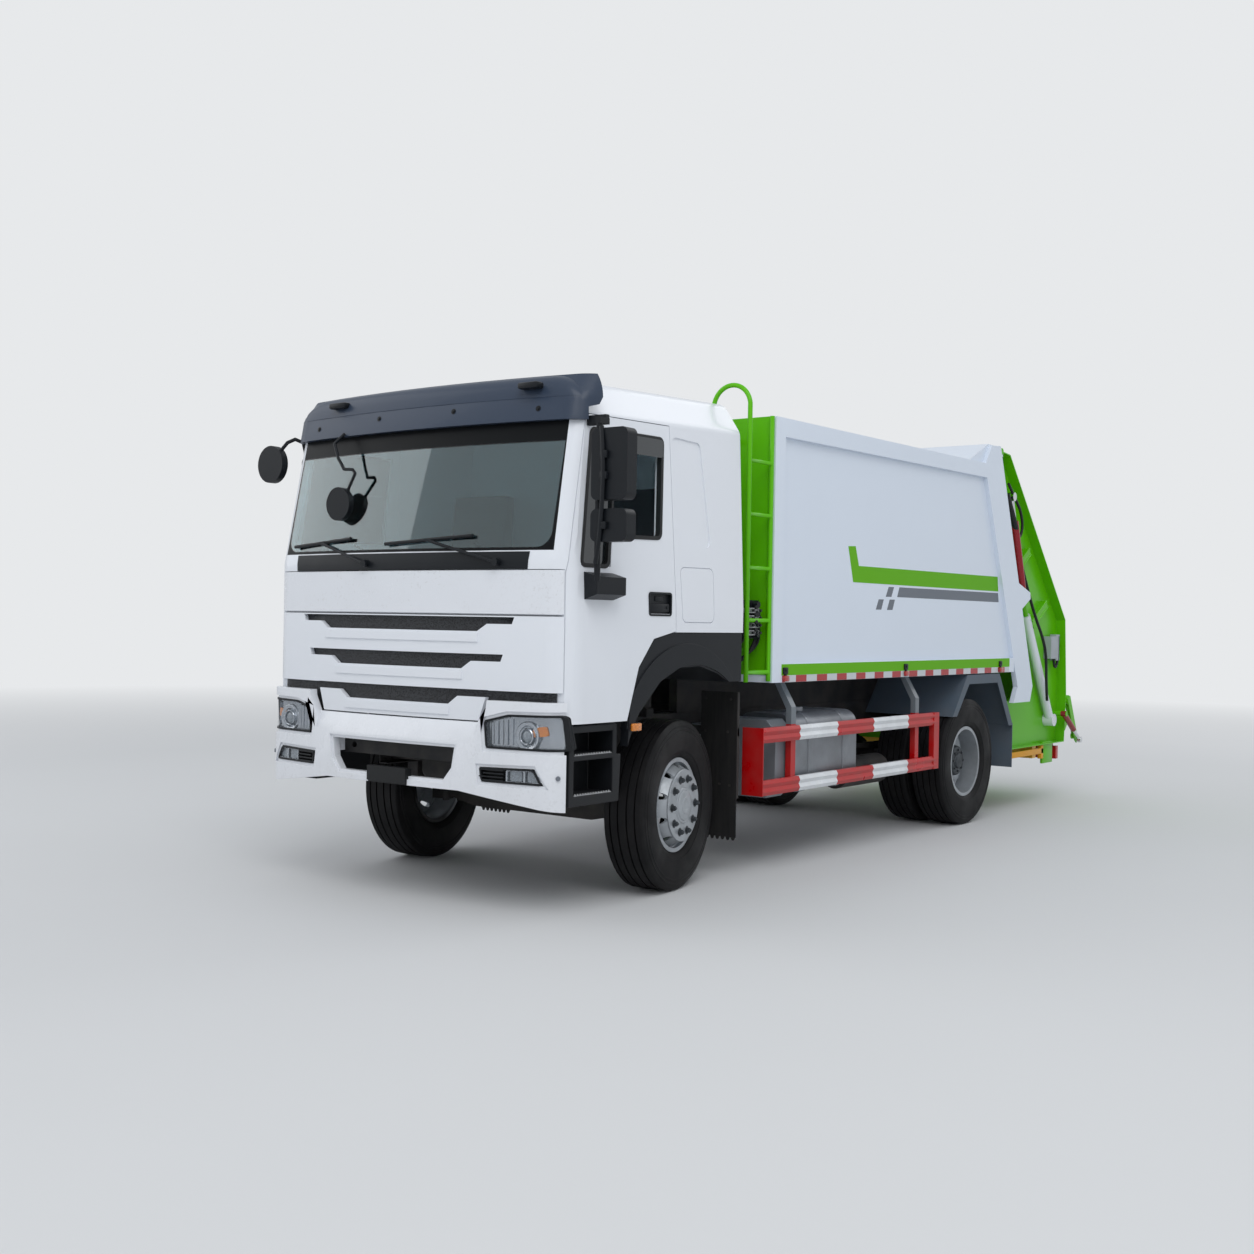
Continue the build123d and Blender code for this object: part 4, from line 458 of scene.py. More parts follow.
def bevelled(form, geom, offset, segments=2, affect="EDGES"):
    bmesh.ops.bevel(form, geom=geom, offset=offset, offset_type="OFFSET", segments=segments, profile=0.5,
                    affect=affect, clamp_overlap=True, material=-1)


weldGap = 0.00002
touchGap = 0.00001

# Angles in degrees: what is flatter than flat is merged, corners over corner are rounded
soft = {"flat": 1.0, "corner": 28, "sharp": 38, "width": 0.002}


# A CAD node's copy with its edges rounded, in place of the node
def softened(name, width, finish=None):
    mesh = nodes[name].data.copy()
    mesh.name = name + "Soft"
    form = bmesh.new()
    form.from_mesh(mesh)
    bmesh.ops.remove_doubles(form, verts=form.verts, dist=weldGap)
    bmesh.ops.dissolve_limit(form, angle_limit=radians(soft["flat"]), verts=form.verts, edges=form.edges,
                             delimit=set())
    if width:
        corner = radians(soft["corner"])
        folds = [edge for edge in form.edges if len(edge.link_faces) == 2]
        edges = [edge for edge in folds if edge.calc_face_angle(0) > corner]
        bevelled(form, edges, width)
    bmesh.ops.triangulate(form, faces=[face for face in form.faces if len(face.verts) > 4])
    form.to_mesh(mesh)
    form.free()
    piece = linked(mesh, name + "_soft")
    finished(mesh, soft["sharp"])
    if width:
        weighted = piece.modifiers.new("weightedNormals", "WEIGHTED_NORMAL")
        weighted.keep_sharp = True
    mesh.materials.clear()
    mesh.materials.append((finish or finishes[slotOf[name]]).material)
    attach(piece, bodyOf[name])
    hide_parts(name)


# Width of the rounded edges in metres, where it isn't the common one
softEdges = {
    0.0: ("ladder", "windscreen", "glass_right", "grille_mesh"),
    0.003: ("tailgate_shell", "side_guards", "bin_lifter", "chassis_frame", "slide_cylinders",
            "lifter_barrels", "front_wheel_left", "front_wheel_right", "rear_wheels_left",
            "rear_wheels_right", "slide_panel", "sweep_blade", "propeller_shaft", "ejector_panel"),
    0.004: ("body_shell", "fuel_tank", "rear_axle", "knuckle_left", "knuckle_right", "lift_barrels",
            "valve_block", "corner_mirrors"),
    0.005: ("door_left", "door_right", "front_panel", "control_box", "underrun_bar", "tail_lamps"),
    0.006: ("cab_shell", "grille", "wheel_arches", "cab_steps", "battery_box", "front_axle"),
    0.008: ("bumper", "sun_visor"),
    0.01: ("air_tanks",),
    0.012: ("mirror_left", "mirror_right"),
    0.015: ("dashboard",),
    0.02: ("engine",),
    0.03: ("seats",),
}
ownFinishes = {
    "battery_box": dullPaint("boxSilver", (0.24, 0.27, 0.3), 0.35, 0.12, 0.2),
    "bumper": bumperPaint(),
    "front_panel": glossPaint("frontPanelPaint", (0.78, 0.805, 0.85), 0.26, specks=0.16),
    "windscreen": screenGlass(),
    "grille_mesh": honeycomb(),
    "glass_right": darkGlass,
}
ownPieces = ("front_tyre_left", "front_tyre_right", "rear_tyres_left", "rear_tyres_right", "headlamps",
             "mudflaps")
widthOf = {name: width for width, members in softEdges.items() for name in members}
for name in sorted(set(nodes) - set(ownPieces)):
    softened(name, widthOf.get(name, soft["width"]), ownFinishes.get(name))
print("nodes softened")

# Helpers for new pieces: places are x, distance behind the bumper's face and height
wheelZ = 0.5425
kingpinX = 0.84
steerAngle = 10
frontAxleS = 1.4
rearAxleS = 5.7
sides = (("Left", "left", 1), ("Right", "right", -1))


def spot(x, s, z):
    return Vector((x, frontY + s, z))


def vertsIn(items):
    return [item for item in items if isinstance(item, bmesh.types.BMVert)]


def joined(form, part):
    mesh = meshOf(part, "part")
    form.from_mesh(mesh)
    bpy.data.meshes.remove(mesh)


# A round or cornered bar with its radius at the start, its radius at the tip and the number of corners
def addBar(form, start, end, radius, tip, corners):
    way = end - start
    turn = way.to_track_quat("Z", "Y").to_matrix().to_4x4()
    bmesh.ops.create_cone(form, cap_ends=True, segments=corners, radius1=radius, radius2=tip,
                          depth=way.length, matrix=Matrix.Translation((start + end) / 2) @ turn)


def addBlock(form, low, high, rounded=0.0, turn=Matrix.Identity(3)):
    size = [abs(side) for side in high - low]
    part = bmesh.new()
    bmesh.ops.create_cube(part, size=1.0, matrix=Matrix.Diagonal((*size, 1.0)))
    if rounded:
        bevelled(part, part.edges[:], rounded)
    place = Matrix.Translation((low + high) / 2) @ turn.to_4x4()
    bmesh.ops.transform(part, matrix=place, verts=part.verts)
    joined(form, part)


# Rows of two ends and sizes, set off by s and z: one size is a block's rounding, more are a bar's
def addRows(form, outward, rows, s=0.0, z=0.0):
    for start, end, *sizes in rows:
        ends = [spot(outward * x, s + back, z + up) for x, back, up in (start, end)]
        add = addBlock if len(sizes) == 1 else addBar
        add(form, *ends, *sizes)


# A flat outline pushed out to a plate; ring keeps only a border of that width
def addPlate(form, outline, push, rounded=0.0, ring=0.0):
    part = bmesh.new()
    part.faces.new([part.verts.new(point) for point in outline])
    if rounded:
        bevelled(part, part.verts[:], rounded, 4, "VERTICES")
    if ring:
        inside = part.faces[:]
        bmesh.ops.inset_region(part, faces=inside, thickness=ring, use_even_offset=True, use_boundary=True)
        bmesh.ops.delete(part, geom=inside, context="FACES_ONLY")
    pushed = bmesh.ops.extrude_face_region(part, geom=part.faces[:])["geom"]
    bmesh.ops.translate(part, vec=push, verts=vertsIn(pushed))
    joined(form, part)


def sideLine(outward, x, line):
    return [spot(outward * x, s, z) for s, z in line]


def addSidePlate(form, outline, outward, x, thick, rounded=0.0, ring=0.0):
    addPlate(form, sideLine(outward, x, outline), (outward * thick, 0, 0), rounded, ring)


def addSpun(form, points, centre, axis, steps, closed=False):
    part = bmesh.new()
    verts = [part.verts.new(point) for point in points]
    edges = [part.edges.new(pair) for pair in zip(verts, verts[1:])]
    if closed:
        edges.append(part.edges.new((verts[-1], verts[0])))
    bmesh.ops.spin(part, geom=verts + edges, cent=centre, axis=axis, dvec=(0, 0, 0), angle=2 * pi,
                   steps=steps, use_merge=True, use_duplicate=False)
    bmesh.ops.remove_doubles(part, verts=part.verts, dist=weldGap)
    joined(form, part)


# A section of across and radius turned about a wheel's axle; outward is -1 on the right
def addTurned(form, section, x, s, outward=1, closed=False, steps=72, z=wheelZ):
    points = [spot(x + outward * across, s, z + radius) for across, radius in section]
    addSpun(form, points, spot(x, s, z), (1, 0, 0), steps, closed)


# A hose or pipe along a smooth line
def addHose(form, points, radius):
    curve = bpy.data.curves.new("line", "CURVE")
    curve.dimensions = "3D"
    curve.bevel_depth = radius
    curve.bevel_resolution = 3
    curve.resolution_u = 8
    curve.use_fill_caps = True
    line = curve.splines.new("NURBS")
    line.points.add(len(points) - 1)
    for point, place in zip(line.points, points):
        point.co = (*place, 1)
    line.order_u = 3
    line.use_endpoint_u = True
    holder = bpy.data.objects.new("line", curve)
    mesh = bpy.data.meshes.new_from_object(holder)
    form.from_mesh(mesh)
    bpy.data.objects.remove(holder)
    bpy.data.meshes.remove(mesh)
    bpy.data.curves.remove(curve)


def made(form, name, slot, finish=None, body="chassis", sharp=35, replaced=()):
    bmesh.ops.remove_doubles(form, verts=form.verts, dist=touchGap)
    bmesh.ops.recalc_face_normals(form, faces=form.faces)
    mesh = meshOf(form, name)
    piece = linked(mesh, name)
    finished(mesh, sharp)
    mesh.materials.append((finish or finishes[slot]).material)
    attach(piece, body)
    if replaced:
        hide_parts(*replaced)


def steered(form, outward):
    turn = Matrix.Rotation(radians(steerAngle), 3, "Z")
    bmesh.ops.rotate(form, cent=spot(outward * kingpinX, frontAxleS, wheelZ), matrix=turn, verts=form.verts)


def forms(count):
    return [bmesh.new() for number in range(count)]


def oblong(low, foot, high, top):
    return (low, foot), (low, top), (high, top), (high, foot)


# Tyres: half the section from the bead over the wall to the shoulder, then a ribbed tread
tyre = {
    "wall": ((0.1048, 0.2868), (0.1048, 0.3005), (0.114, 0.304), (0.1265, 0.318), (0.1345, 0.34),
             (0.1362, 0.344), (0.1385, 0.344), (0.1408, 0.362), (0.1432, 0.392), (0.1448, 0.42),
             (0.1446, 0.452), (0.1424, 0.468), (0.1442, 0.4705), (0.1442, 0.476), (0.1414, 0.4785),
             (0.1396, 0.493), (0.1412, 0.4955), (0.1408, 0.5005), (0.1372, 0.5035), (0.133, 0.518),
             (0.129, 0.53), (0.1215, 0.5375)),
    "grooves": (0.084, 0.03),
    "grooveHalf": 0.0055,
    "grooveDepth": 0.014,
    "draft": 0.002,
    "treadRadius": 0.5425,
    "crown": 0.0045,
    "halfWidth": 0.1215,
    "steps": 110,
    "sharp": 30,
    "frontX": (1.02,),
    "rearX": (1.08, 0.75),
}


def tyreSection():
    def treadAt(across):
        return tyre["treadRadius"] - tyre["crown"] * (across / tyre["halfWidth"]) ** 2
    half = list(tyre["wall"])
    draft = tyre["draft"]
    for groove in tyre["grooves"]:
        outer, inner = groove + tyre["grooveHalf"], groove - tyre["grooveHalf"]
        floor = treadAt(groove) - tyre["grooveDepth"]
        half += [(outer, treadAt(outer)), (outer - draft, floor), (inner + draft, floor),
                 (inner, treadAt(inner))]
    return half + [(-across, radius) for across, radius in half[::-1]]


def makeTyres():
    section = tyreSection()
    for side, label, outward in sides:
        for name, node, places, s in (("frontTyre", "front_tyre_", tyre["frontX"], frontAxleS),
                                      ("rearTyres", "rear_tyres_", tyre["rearX"], rearAxleS)):
            form = bmesh.new()
            for x in places:
                addTurned(form, section, outward * x, s, closed=True, steps=tyre["steps"])
            if s == frontAxleS:
                steered(form, outward)
            made(form, name + side, "tyre", body=bodyOf[node + label], sharp=tyre["sharp"],
                 replaced=(node + label,))


makeTyres()
print("tyres made")

# Wheel centres: the front's raised hub plate, the rear's drum cap with its bolts, and ten nuts on each.
# A bar's row goes from low to high along the axle, then radius, tip and corners
hub = {
    "frontPlate": ((0.15, 0.229), (0.16, 0.229), (0.164, 0.225), (0.164, 0.116), (0.17, 0.11), (0.17, 0.098),
                   (0.176, 0.093), (0.18, 0.078), (0.18, 0.056), (0.1835, 0.052), (0.1835, 0.03),
                   (0.181, 0.027), (0.181, 0.0)),
    "frontFace": 0.164,
    "rearCentre": ((-0.1, 0.15), (-0.06, 0.142), (0.026, 0.129), (0.04, 0.123), (0.046, 0.114), (0.046, 0.07),
                   (0.06, 0.064), (0.064, 0.056), (0.064, 0.0)),
    "rearFace": -0.1,
    "nuts": (10, 0.172, 0.5),
    "nut": ((0.0, 0.003, 0.019, 0.0185, 20), (0.003, 0.022, 0.0165, 0.0158, 6),
            (0.022, 0.03, 0.0098, 0.0085, 14)),
    "seat": ((-0.001, 0.0006, 0.0275, 0.0275, 24),),
    "bolts": (8, 0.092, 0.0),
    "bolt": ((0.045, 0.058, 0.01, 0.0095, 6),),
}


# The same bars round an axle: ring is how many, the circle's radius and the first one's share of a step
def addCircle(form, x, s, outward, face, ring, rows):
    count, circle, first = ring
    for number in range(count):
        angle = 2 * pi * (number + first) / count
        up, back = cos(angle) * circle, sin(angle) * circle
        for low, high, *sizes in rows:
            ends = [spot(x + outward * (face + out), s + back, wheelZ + up) for out in (low, high)]
            addBar(form, *ends, *sizes)


def makeHubs():
    for side, label, outward in sides:
        x = outward * tyre["frontX"][0]
        plate, nuts, seats = forms(3)
        addTurned(plate, hub["frontPlate"], x, frontAxleS, outward)
        addCircle(nuts, x, frontAxleS, outward, hub["frontFace"], hub["nuts"], hub["nut"])
        addCircle(seats, x, frontAxleS, outward, hub["frontFace"], hub["nuts"], hub["seat"])
        for form, name, finish in ((plate, "hubPlate", None), (nuts, "frontNuts", darkSteel),
                                   (seats, "nutSeats", darkSteel)):
            steered(form, outward)
            made(form, name + side, "wheel_silver", finish, bodyOf["front_wheel_" + label])
        x = outward * tyre["rearX"][0]
        centre, nuts = forms(2)
        addTurned(centre, hub["rearCentre"], x, rearAxleS, outward)
        addCircle(centre, x, rearAxleS, outward, 0.0, hub["bolts"], hub["bolt"])
        addCircle(nuts, x, rearAxleS, outward, hub["rearFace"], hub["nuts"], hub["nut"])
        for form, name in ((centre, "rearHub"), (nuts, "rearNuts")):
            made(form, name + side, "wheel_silver", darkSteel, bodyOf["rear_wheels_" + label])


makeHubs()
print("hubs made")

# The cab's nose in plan: an arc across the front, rounded into the sides
nose = {"half": 1.25, "bow": 0.12, "corner": 0.18, "front": 0.06, "edge": 0.0005, "step": 0.04}


def noseBack(x):
    arc = (nose["half"] ** 2 + nose["bow"] ** 2) / (2 * nose["bow"])
    across = min(abs(x), nose["half"] - nose["edge"])
    centre = nose["half"] - nose["corner"]
    if across < centre * arc / (arc - nose["corner"]):
        return arc - (arc ** 2 - across ** 2) ** 0.5
    deep = arc - ((arc - nose["corner"]) ** 2 - centre ** 2) ** 0.5
    return deep - (nose["corner"] ** 2 - (across - centre) ** 2) ** 0.5


# A plate that follows the nose: its outline in x and height, its face lead ahead of the panel
def addNosePlate(form, outward, outline, lead, depth, rounded=0.0, ring=0.0):
    part = bmesh.new()
    addPlate(part, [Vector((outward * x, 0, z)) for x, z in outline], (0, depth, 0), rounded, ring)
    low, high = (end(outward * x for x, z in outline) for end in (min, max))
    for count in range(1, int((high - low) / nose["step"])):
        bmesh.ops.bisect_plane(part, geom=part.verts[:] + part.edges[:] + part.faces[:], dist=touchGap,
                               plane_co=(low + count * nose["step"], 0, 0), plane_no=(1, 0, 0))
    for vert in part.verts:
        vert.co.y += frontY + nose["front"] - lead + noseBack(vert.co.x)
    joined(form, part)


# Lamps in the bumper: bowl, projector, amber lens and clear cover above, fog lamp and louvres below.
# A plate's row gives its form, outline, lead, depth, rounding and the width of its ring
lamps = {
    "upper": ((0.752, 0.962), (0.737, 1.119), (0.9, 1.159), (1.229, 1.164), (1.245, 0.962)),
    "lower": ((0.722, 0.767), (0.708, 0.849), (1.079, 0.856), (1.134, 0.767)),
    "fogPane": ((0.892, 0.77), (0.892, 0.847), (1.078, 0.852), (1.126, 0.8), (1.12, 0.772)),
    "bowl": ((0.75572, 0.96514), (0.740945, 1.11743), (0.9015, 1.15623), (1.225565, 1.16108),
             (1.241325, 0.96514)),
    "amber": ((1.065, 1.036), (1.059, 1.088), (1.14, 1.102), (1.154, 1.048)),
    "endLamp": ((1.158, 0.985), (1.158, 1.14), (1.215, 1.142), (1.222, 0.985)),
    "fogBar": oblong(1.008, 0.77, 1.02, 0.849),
    "fogLens": oblong(0.914, 0.782, 0.992, 0.838),
    "turnLens": ((1.03, 0.782), (1.03, 0.838), (1.064, 0.838), (1.1, 0.8), (1.096, 0.782)),
    "plates": (("blacks", "upper", 0.004, 0.01, 0.02), ("gaskets", "upper", 0.043, 0.03, 0.02, 0.011),
               ("blacks", "lower", 0.004, 0.01, 0.02), ("gaskets", "lower", 0.043, 0.03, 0.02, 0.011),
               ("bowls", "bowl", 0.008, 0.006, 0.02), ("covers", "upper", 0.039, 0.003, 0.02),
               ("ambers", "amber", 0.026, 0.012, 0.012), ("bowls", "endLamp", 0.02, 0.01, 0.01),
               ("bowls", "fogPane", 0.036, 0.02, 0.01, 0.01), ("bowls", "fogBar", 0.036, 0.02),
               ("lenses", "fogLens", 0.026, 0.01, 0.01), ("lenses", "turnLens", 0.026, 0.01, 0.008),
               ("covers", "fogPane", 0.038, 0.002, 0.01)),
    "projector": (1.018, 1.04),
    "rings": (((0.0, 0.088), (0.022, 0.086), (0.026, 0.08), (0.02, 0.062), (0.01, 0.056), (0.0, 0.054)),
              ((0.0, 0.052), (0.028, 0.05), (0.032, 0.046), (0.028, 0.041), (0.012, 0.04))),
    "dome": (0.01, 0.022, 0.039),
    "steps": {"count": 5, "first": 0.765, "pitch": 0.033, "width": 0.023, "lean": 0.005, "rise": 0.006,
              "foot": 0.985, "top": 1.105, "leads": (0.016, 0.018), "sizes": (0.008, 0.004)},
    "louvres": (0.779, 0.799, 0.819, 0.839),
    "louvreEnds": (0.74, 0.712, 0.88),
    "louvreHalf": 0.004,
    "louvreSizes": (0.046, 0.04, 0.0015),
    "facets": 40,
}


def addFacing(form, section, x, z, back):
    points = [(x + radius, frontY + back - ahead, z) for ahead, radius in section]
    addSpun(form, points, (x, 0, z), (0, 1, 0), lamps["facets"])


def makeHeadlamps():
    keys = ("bowls", "gaskets", "blacks", "covers", "lenses", "ambers")
    parts = dict(zip(keys, forms(len(keys))))
    for side, label, outward in sides:
        for key, outline, *sizes in lamps["plates"]:
            addNosePlate(parts[key], outward, lamps[outline], *sizes)
        x, z = lamps["projector"]
        back = nose["front"] + noseBack(x)
        for section in lamps["rings"]:
            addFacing(parts["bowls"], section, outward * x, z, back)
        foot, tall, wide = lamps["dome"]
        dome = [(foot + tall * cos(step * pi / 16), wide * sin(step * pi / 16)) for step in range(9)]
        addFacing(parts["lenses"], dome, outward * x, z, back)
        # Stepped reflector beside the projector
        steps = lamps["steps"]
        for count in range(steps["count"]):
            x = steps["first"] + count * steps["pitch"]
            top = steps["top"] + count * steps["rise"]
            end = x + steps["width"]
            outline = ((x, steps["foot"]), (x - steps["lean"], top), (end, top + steps["lean"]),
                       (end, steps["foot"]))
            addNosePlate(parts["bowls"], outward, outline, steps["leads"][count % 2], *steps["sizes"])
        half = lamps["louvreHalf"]
        for count, z in enumerate(lamps["louvres"]):
            outline = oblong(lamps["louvreEnds"][count % 2], z - half, lamps["louvreEnds"][2], z + half)
            addNosePlate(parts["blacks"], outward, outline, *lamps["louvreSizes"])
    glassSlot, meshSlot = slotOf["headlamps"], slotOf["grille_mesh"]
    made(parts["bowls"], "lampBowls", glassSlot, reflector(), sharp=30, replaced=("headlamps",))
    for name, key, slot, finish in (("lampGaskets", "gaskets", meshSlot, None),
                                    ("lampLouvres", "blacks", meshSlot, None),
                                    ("lampCovers", "covers", glassSlot, clearCover),
                                    ("lampLenses", "lenses", glassSlot, clearLens),
                                    ("lampAmber", "ambers", glassSlot, amberLens)):
        made(parts[key], name, slot, finish)


makeHeadlamps()
print("headlamps made")

# Visor fittings: bolts in two rows, and two flat lamps under the brow.
# A bolt's row goes from low to high out of the panel, then radius, tip and corners
visor = {
    "lead": 0.045,
    "crease": 2.995,
    "lean": 0.2,
    "browLean": 0.8,
    "foot": 2.04,
    "bolts": ((0.94, 2.925), (0.32, 2.945), (-0.32, 2.945), (-0.94, 2.925), (0.975, 3.098), (0.325, 3.1),
              (-0.325, 3.1)),
    "bolt": ((-0.004, 0.0025, 0.017, 0.0165, 22), (0.0, 0.008, 0.0105, 0.0085, 6)),
    "lamps": (0.85, 3.052),
    "lampSize": Vector((0.17, 0.022, 0.05)),
    "sunk": 0.45,
    "lampLayers": ((1.0, 0.0, 0.008), (0.82, 0.006, 0.006)),
}


def visorSpot(x, z):
    back = nose["front"] - visor["lead"] + visor["lean"] * (min(z, visor["crease"]) - visor["foot"])
    return spot(x, back + visor["browLean"] * max(z - visor["crease"], 0) + noseBack(x), z)


def visorOut(x, z):
    across = (noseBack(x + 0.01) - noseBack(x - 0.01)) / 0.02
    lean = visor["browLean"] if z > visor["crease"] else visor["lean"]
    return Vector((across, -1, lean)).normalized()


def makeVisorFittings():
    form = bmesh.new()
    for x, z in visor["bolts"]:
        place, out = visorSpot(x, z), visorOut(x, z)
        for low, high, *sizes in visor["bolt"]:
            addBar(form, place + out * low, place + out * high, *sizes)
    x, z = visor["lamps"]
    for outward in (1, -1):
        out = visorOut(outward * x, z)
        place = visorSpot(outward * x, z) + out * visor["lampSize"].y * visor["sunk"]
        turn = out.to_track_quat("-Y", "Z").to_matrix()
        for share, lead, rounded in visor["lampLayers"]:
            size = visor["lampSize"] / 2 * share
            addBlock(form, place + out * lead - size, place + out * lead + size, rounded, turn)
    made(form, "visorFittings", slotOf["sun_visor"], finishes["black_plastic"])


makeVisorFittings()

# The visor's rounded brow, over the top of the windscreen's frame and wrapped round both corners
brow = {
    "line": ((0.204, 2.992), (0.206, 3.004), (0.214, 3.04), (0.228, 3.078), (0.252, 3.108), (0.292, 3.127),
             (0.34, 3.134), (0.43, 3.134)),
    "wall": 0.01,
    "foot": 2.992,
    "flat": 0.95,
    "droop": 0.9,
    "droopPower": 2.4,
    "back": 0.47,
    "end": 1.215,
    "steps": 90,
    "sharp": 40,
}


def browDroop(x):
    past = max(abs(x) - brow["flat"], 0) / (brow["end"] - brow["flat"])
    return 1 - brow["droop"] * past ** brow["droopPower"]


def makeBrow():
    form = bmesh.new()
    line = [form.verts.new((-brow["end"], s, z)) for s, z in brow["line"]]
    edges = [form.edges.new(pair) for pair in zip(line, line[1:])]
    width = 2 * brow["end"] / brow["steps"]
    for count in range(brow["steps"]):
        grown = bmesh.ops.extrude_edge_only(form, edges=edges)["geom"]
        edges = [item for item in grown if isinstance(item, bmesh.types.BMEdge)]
        bmesh.ops.translate(form, vec=(width, 0, 0), verts=vertsIn(grown))
    for vert in form.verts:
        vert.co.z = brow["foot"] + (vert.co.z - brow["foot"]) * browDroop(vert.co.x)
        vert.co.y = min(frontY + vert.co.y + noseBack(vert.co.x), frontY + brow["back"])
    bmesh.ops.recalc_face_normals(form, faces=form.faces)
    if max(form.faces, key=lambda face: face.calc_center_median().z).normal.z < 0:
        bmesh.ops.reverse_faces(form, faces=form.faces)
    bmesh.ops.solidify(form, geom=form.faces[:], thickness=brow["wall"])
    made(form, "visorBrow", slotOf["sun_visor"], finishes["visor_paint"], sharp=brow["sharp"])


makeBrow()

# Doors: window rubber, quarter glass, wind deflector and handle. Sizes start with x or how far out
door = {
    "crease": 1.723,
    "lean": 0.05 / 1.157,
    "slope": 0.0375,
    "half": 1.25,
    "rubber": ((0.295, 2.009), (0.57, 2.008), (0.588, 2.188), (1.097, 2.202), (1.14, 2.836), (0.411, 2.826)),
    "rubberSizes": (-0.03, 0.034, 0.045, 0.024),
    "quarter": ((0.318, 2.03), (0.574, 2.029), (0.592, 2.205), (0.64, 2.808), (0.432, 2.806)),
    "quarterSizes": (-0.022, 0.005, 0.03),
    "post": ((0.592, 2.2), (0.612, 2.2), (0.658, 2.816), (0.638, 2.816)),
    "postSizes": (-0.026, 0.024),
    "deflector": ((0.655, 2.704), (1.118, 2.708), (1.126, 2.818), (0.64, 2.814)),
    "deflectorSizes": (0.004, 0.004, 0.02),
    "handle": oblong(0.951, 1.738, 1.189, 1.884),
    "handleRing": (1.2325, 0.021, 0.022, 0.012),
    "pocket": (1.2322, 0.002, 0.022),
    "grip": (((1.235, 0.972, 1.763), (1.249, 1.168, 1.815), 0.006),
             ((1.233, 1.03, 1.828), (1.24, 1.11, 1.86), 0.004),
             ((1.233, 1.145, 1.792), (1.2525, 1.145, 1.792), 0.011, 0.01, 20)),
}


def doorSide(s, z):
    return door["half"] - door["lean"] * max(z - door["slope"] * (s + 0.2) - door["crease"], 0)


def addDoorPlate(form, outward, key):
    out, thick, *sizes = door[key + "Sizes"]
    outline = [spot(outward * (doorSide(s, z) + out), s, z) for s, z in door[key]]
    addPlate(form, outline, (outward * thick, 0, 0), *sizes)


def makeDoorTrim():
    for side, label, outward in sides:
        body = bodyOf["door_" + label]
        rubber, glass, black, pocket = forms(4)
        addDoorPlate(rubber, outward, "rubber")
        addDoorPlate(glass, outward, "deflector")
        if side == "Left":
            addDoorPlate(glass, outward, "quarter")
            addDoorPlate(rubber, outward, "post")
        addSidePlate(black, door["handle"], outward, *door["handleRing"])
        addSidePlate(pocket, door["handle"], outward, *door["pocket"])
        addRows(black, outward, door["grip"])
        made(rubber, "windowRubber" + side, "black_plastic", hoseRubber, body)
        made(glass, "darkPanes" + side, "glass", darkGlass, body)
        made(black, "doorHandle" + side, "black_plastic", body=body)
        made(pocket, "handlePocket" + side, "black_plastic", body=body)


makeDoorTrim()
print("visor and door fittings made")

# Stripes on the body's side panel, in distance behind the bumper and height
stripes = {
    "panel": (1.214, 0.0008),
    "sill": (1.2495, 0.0015),
    "sillTape": (1.2495, 0.0017),
    "green": ((3.501, 2.288), (3.615, 2.294), (3.671, 2.148), (6.281, 2.154), (6.301, 2.023), (3.585, 2.023)),
    "grey": (((4.35, 2.006), (6.295, 2.009), (6.313, 1.927), (4.313, 1.928)),
             ((4.165, 2.004), (4.256, 2.005), (4.213, 1.927), (4.118, 1.926)),
             ((4.001, 1.904), (4.086, 1.905), (4.046, 1.825), (3.956, 1.824)),
             ((4.185, 1.906), (4.275, 1.907), (4.235, 1.825), (4.142, 1.824))),
    "band": oblong(2.51, 1.348, 6.498, 1.425),
    "tape": oblong(2.521, 1.3, 6.49, 1.347),
}


def makeStripes():
    tapeFinish = reflectiveTape()
    for side, label, outward in sides:
        green, grey, tape = forms(3)
        addSidePlate(green, stripes["green"], outward, *stripes["panel"])
        for outline in stripes["grey"]:
            addSidePlate(grey, outline, outward, *stripes["panel"])
        addSidePlate(green, stripes["band"], outward, *stripes["sill"])
        addSidePlate(tape, stripes["tape"], outward, *stripes["sillTape"])
        made(green, "greenStripes" + side, "green_paint", stripeGreen)
        made(grey, "greyStripes" + side, "grey_paint", stripeGrey)
        made(tape, "sillTape" + side, "body_white", tapeFinish)


makeStripes()

# Side marker lamps under the sill band, on small black brackets, and amber lamps on the wheel arches
marker = {
    "places": (2.556, 4.406, 6.283),
    "z": 1.352,
    "lamp": (((1.252, -0.034, -0.046), (1.272, 0.034, -0.006), 0.007),),
    "bracket": (((1.246, -0.03, 0.004), (1.262, 0.03, 0.05), 0.004),
                ((1.251, -0.012, -0.03), (1.262, 0.012, 0.006), 0.002),
                ((1.262, 0.0, 0.03), (1.2665, 0.0, 0.03), 0.01, 0.009, 12)),
    "archBase": (((1.205, 0.782, 1.046), (1.251, 0.884, 1.1), 0.004),),
    "archLamp": (((1.25, 0.786, 1.05), (1.266, 0.88, 1.096), 0.006),),
}


def makeMarkers():
    for side, label, outward in sides:
        red, black, amber = forms(3)
        for s in marker["places"]:
            addRows(black, outward, marker["bracket"], s, marker["z"])
            addRows(red, outward, marker["lamp"], s, marker["z"])
        addRows(black, outward, marker["archBase"])
        addRows(amber, outward, marker["archLamp"])
        made(red, "markerLamps" + side, slotOf["tail_lamps"], redLens)
        made(black, "markerBrackets" + side, "black_plastic")
        made(amber, "archLamp" + side, slotOf["headlamps"], amberLens)


makeMarkers()

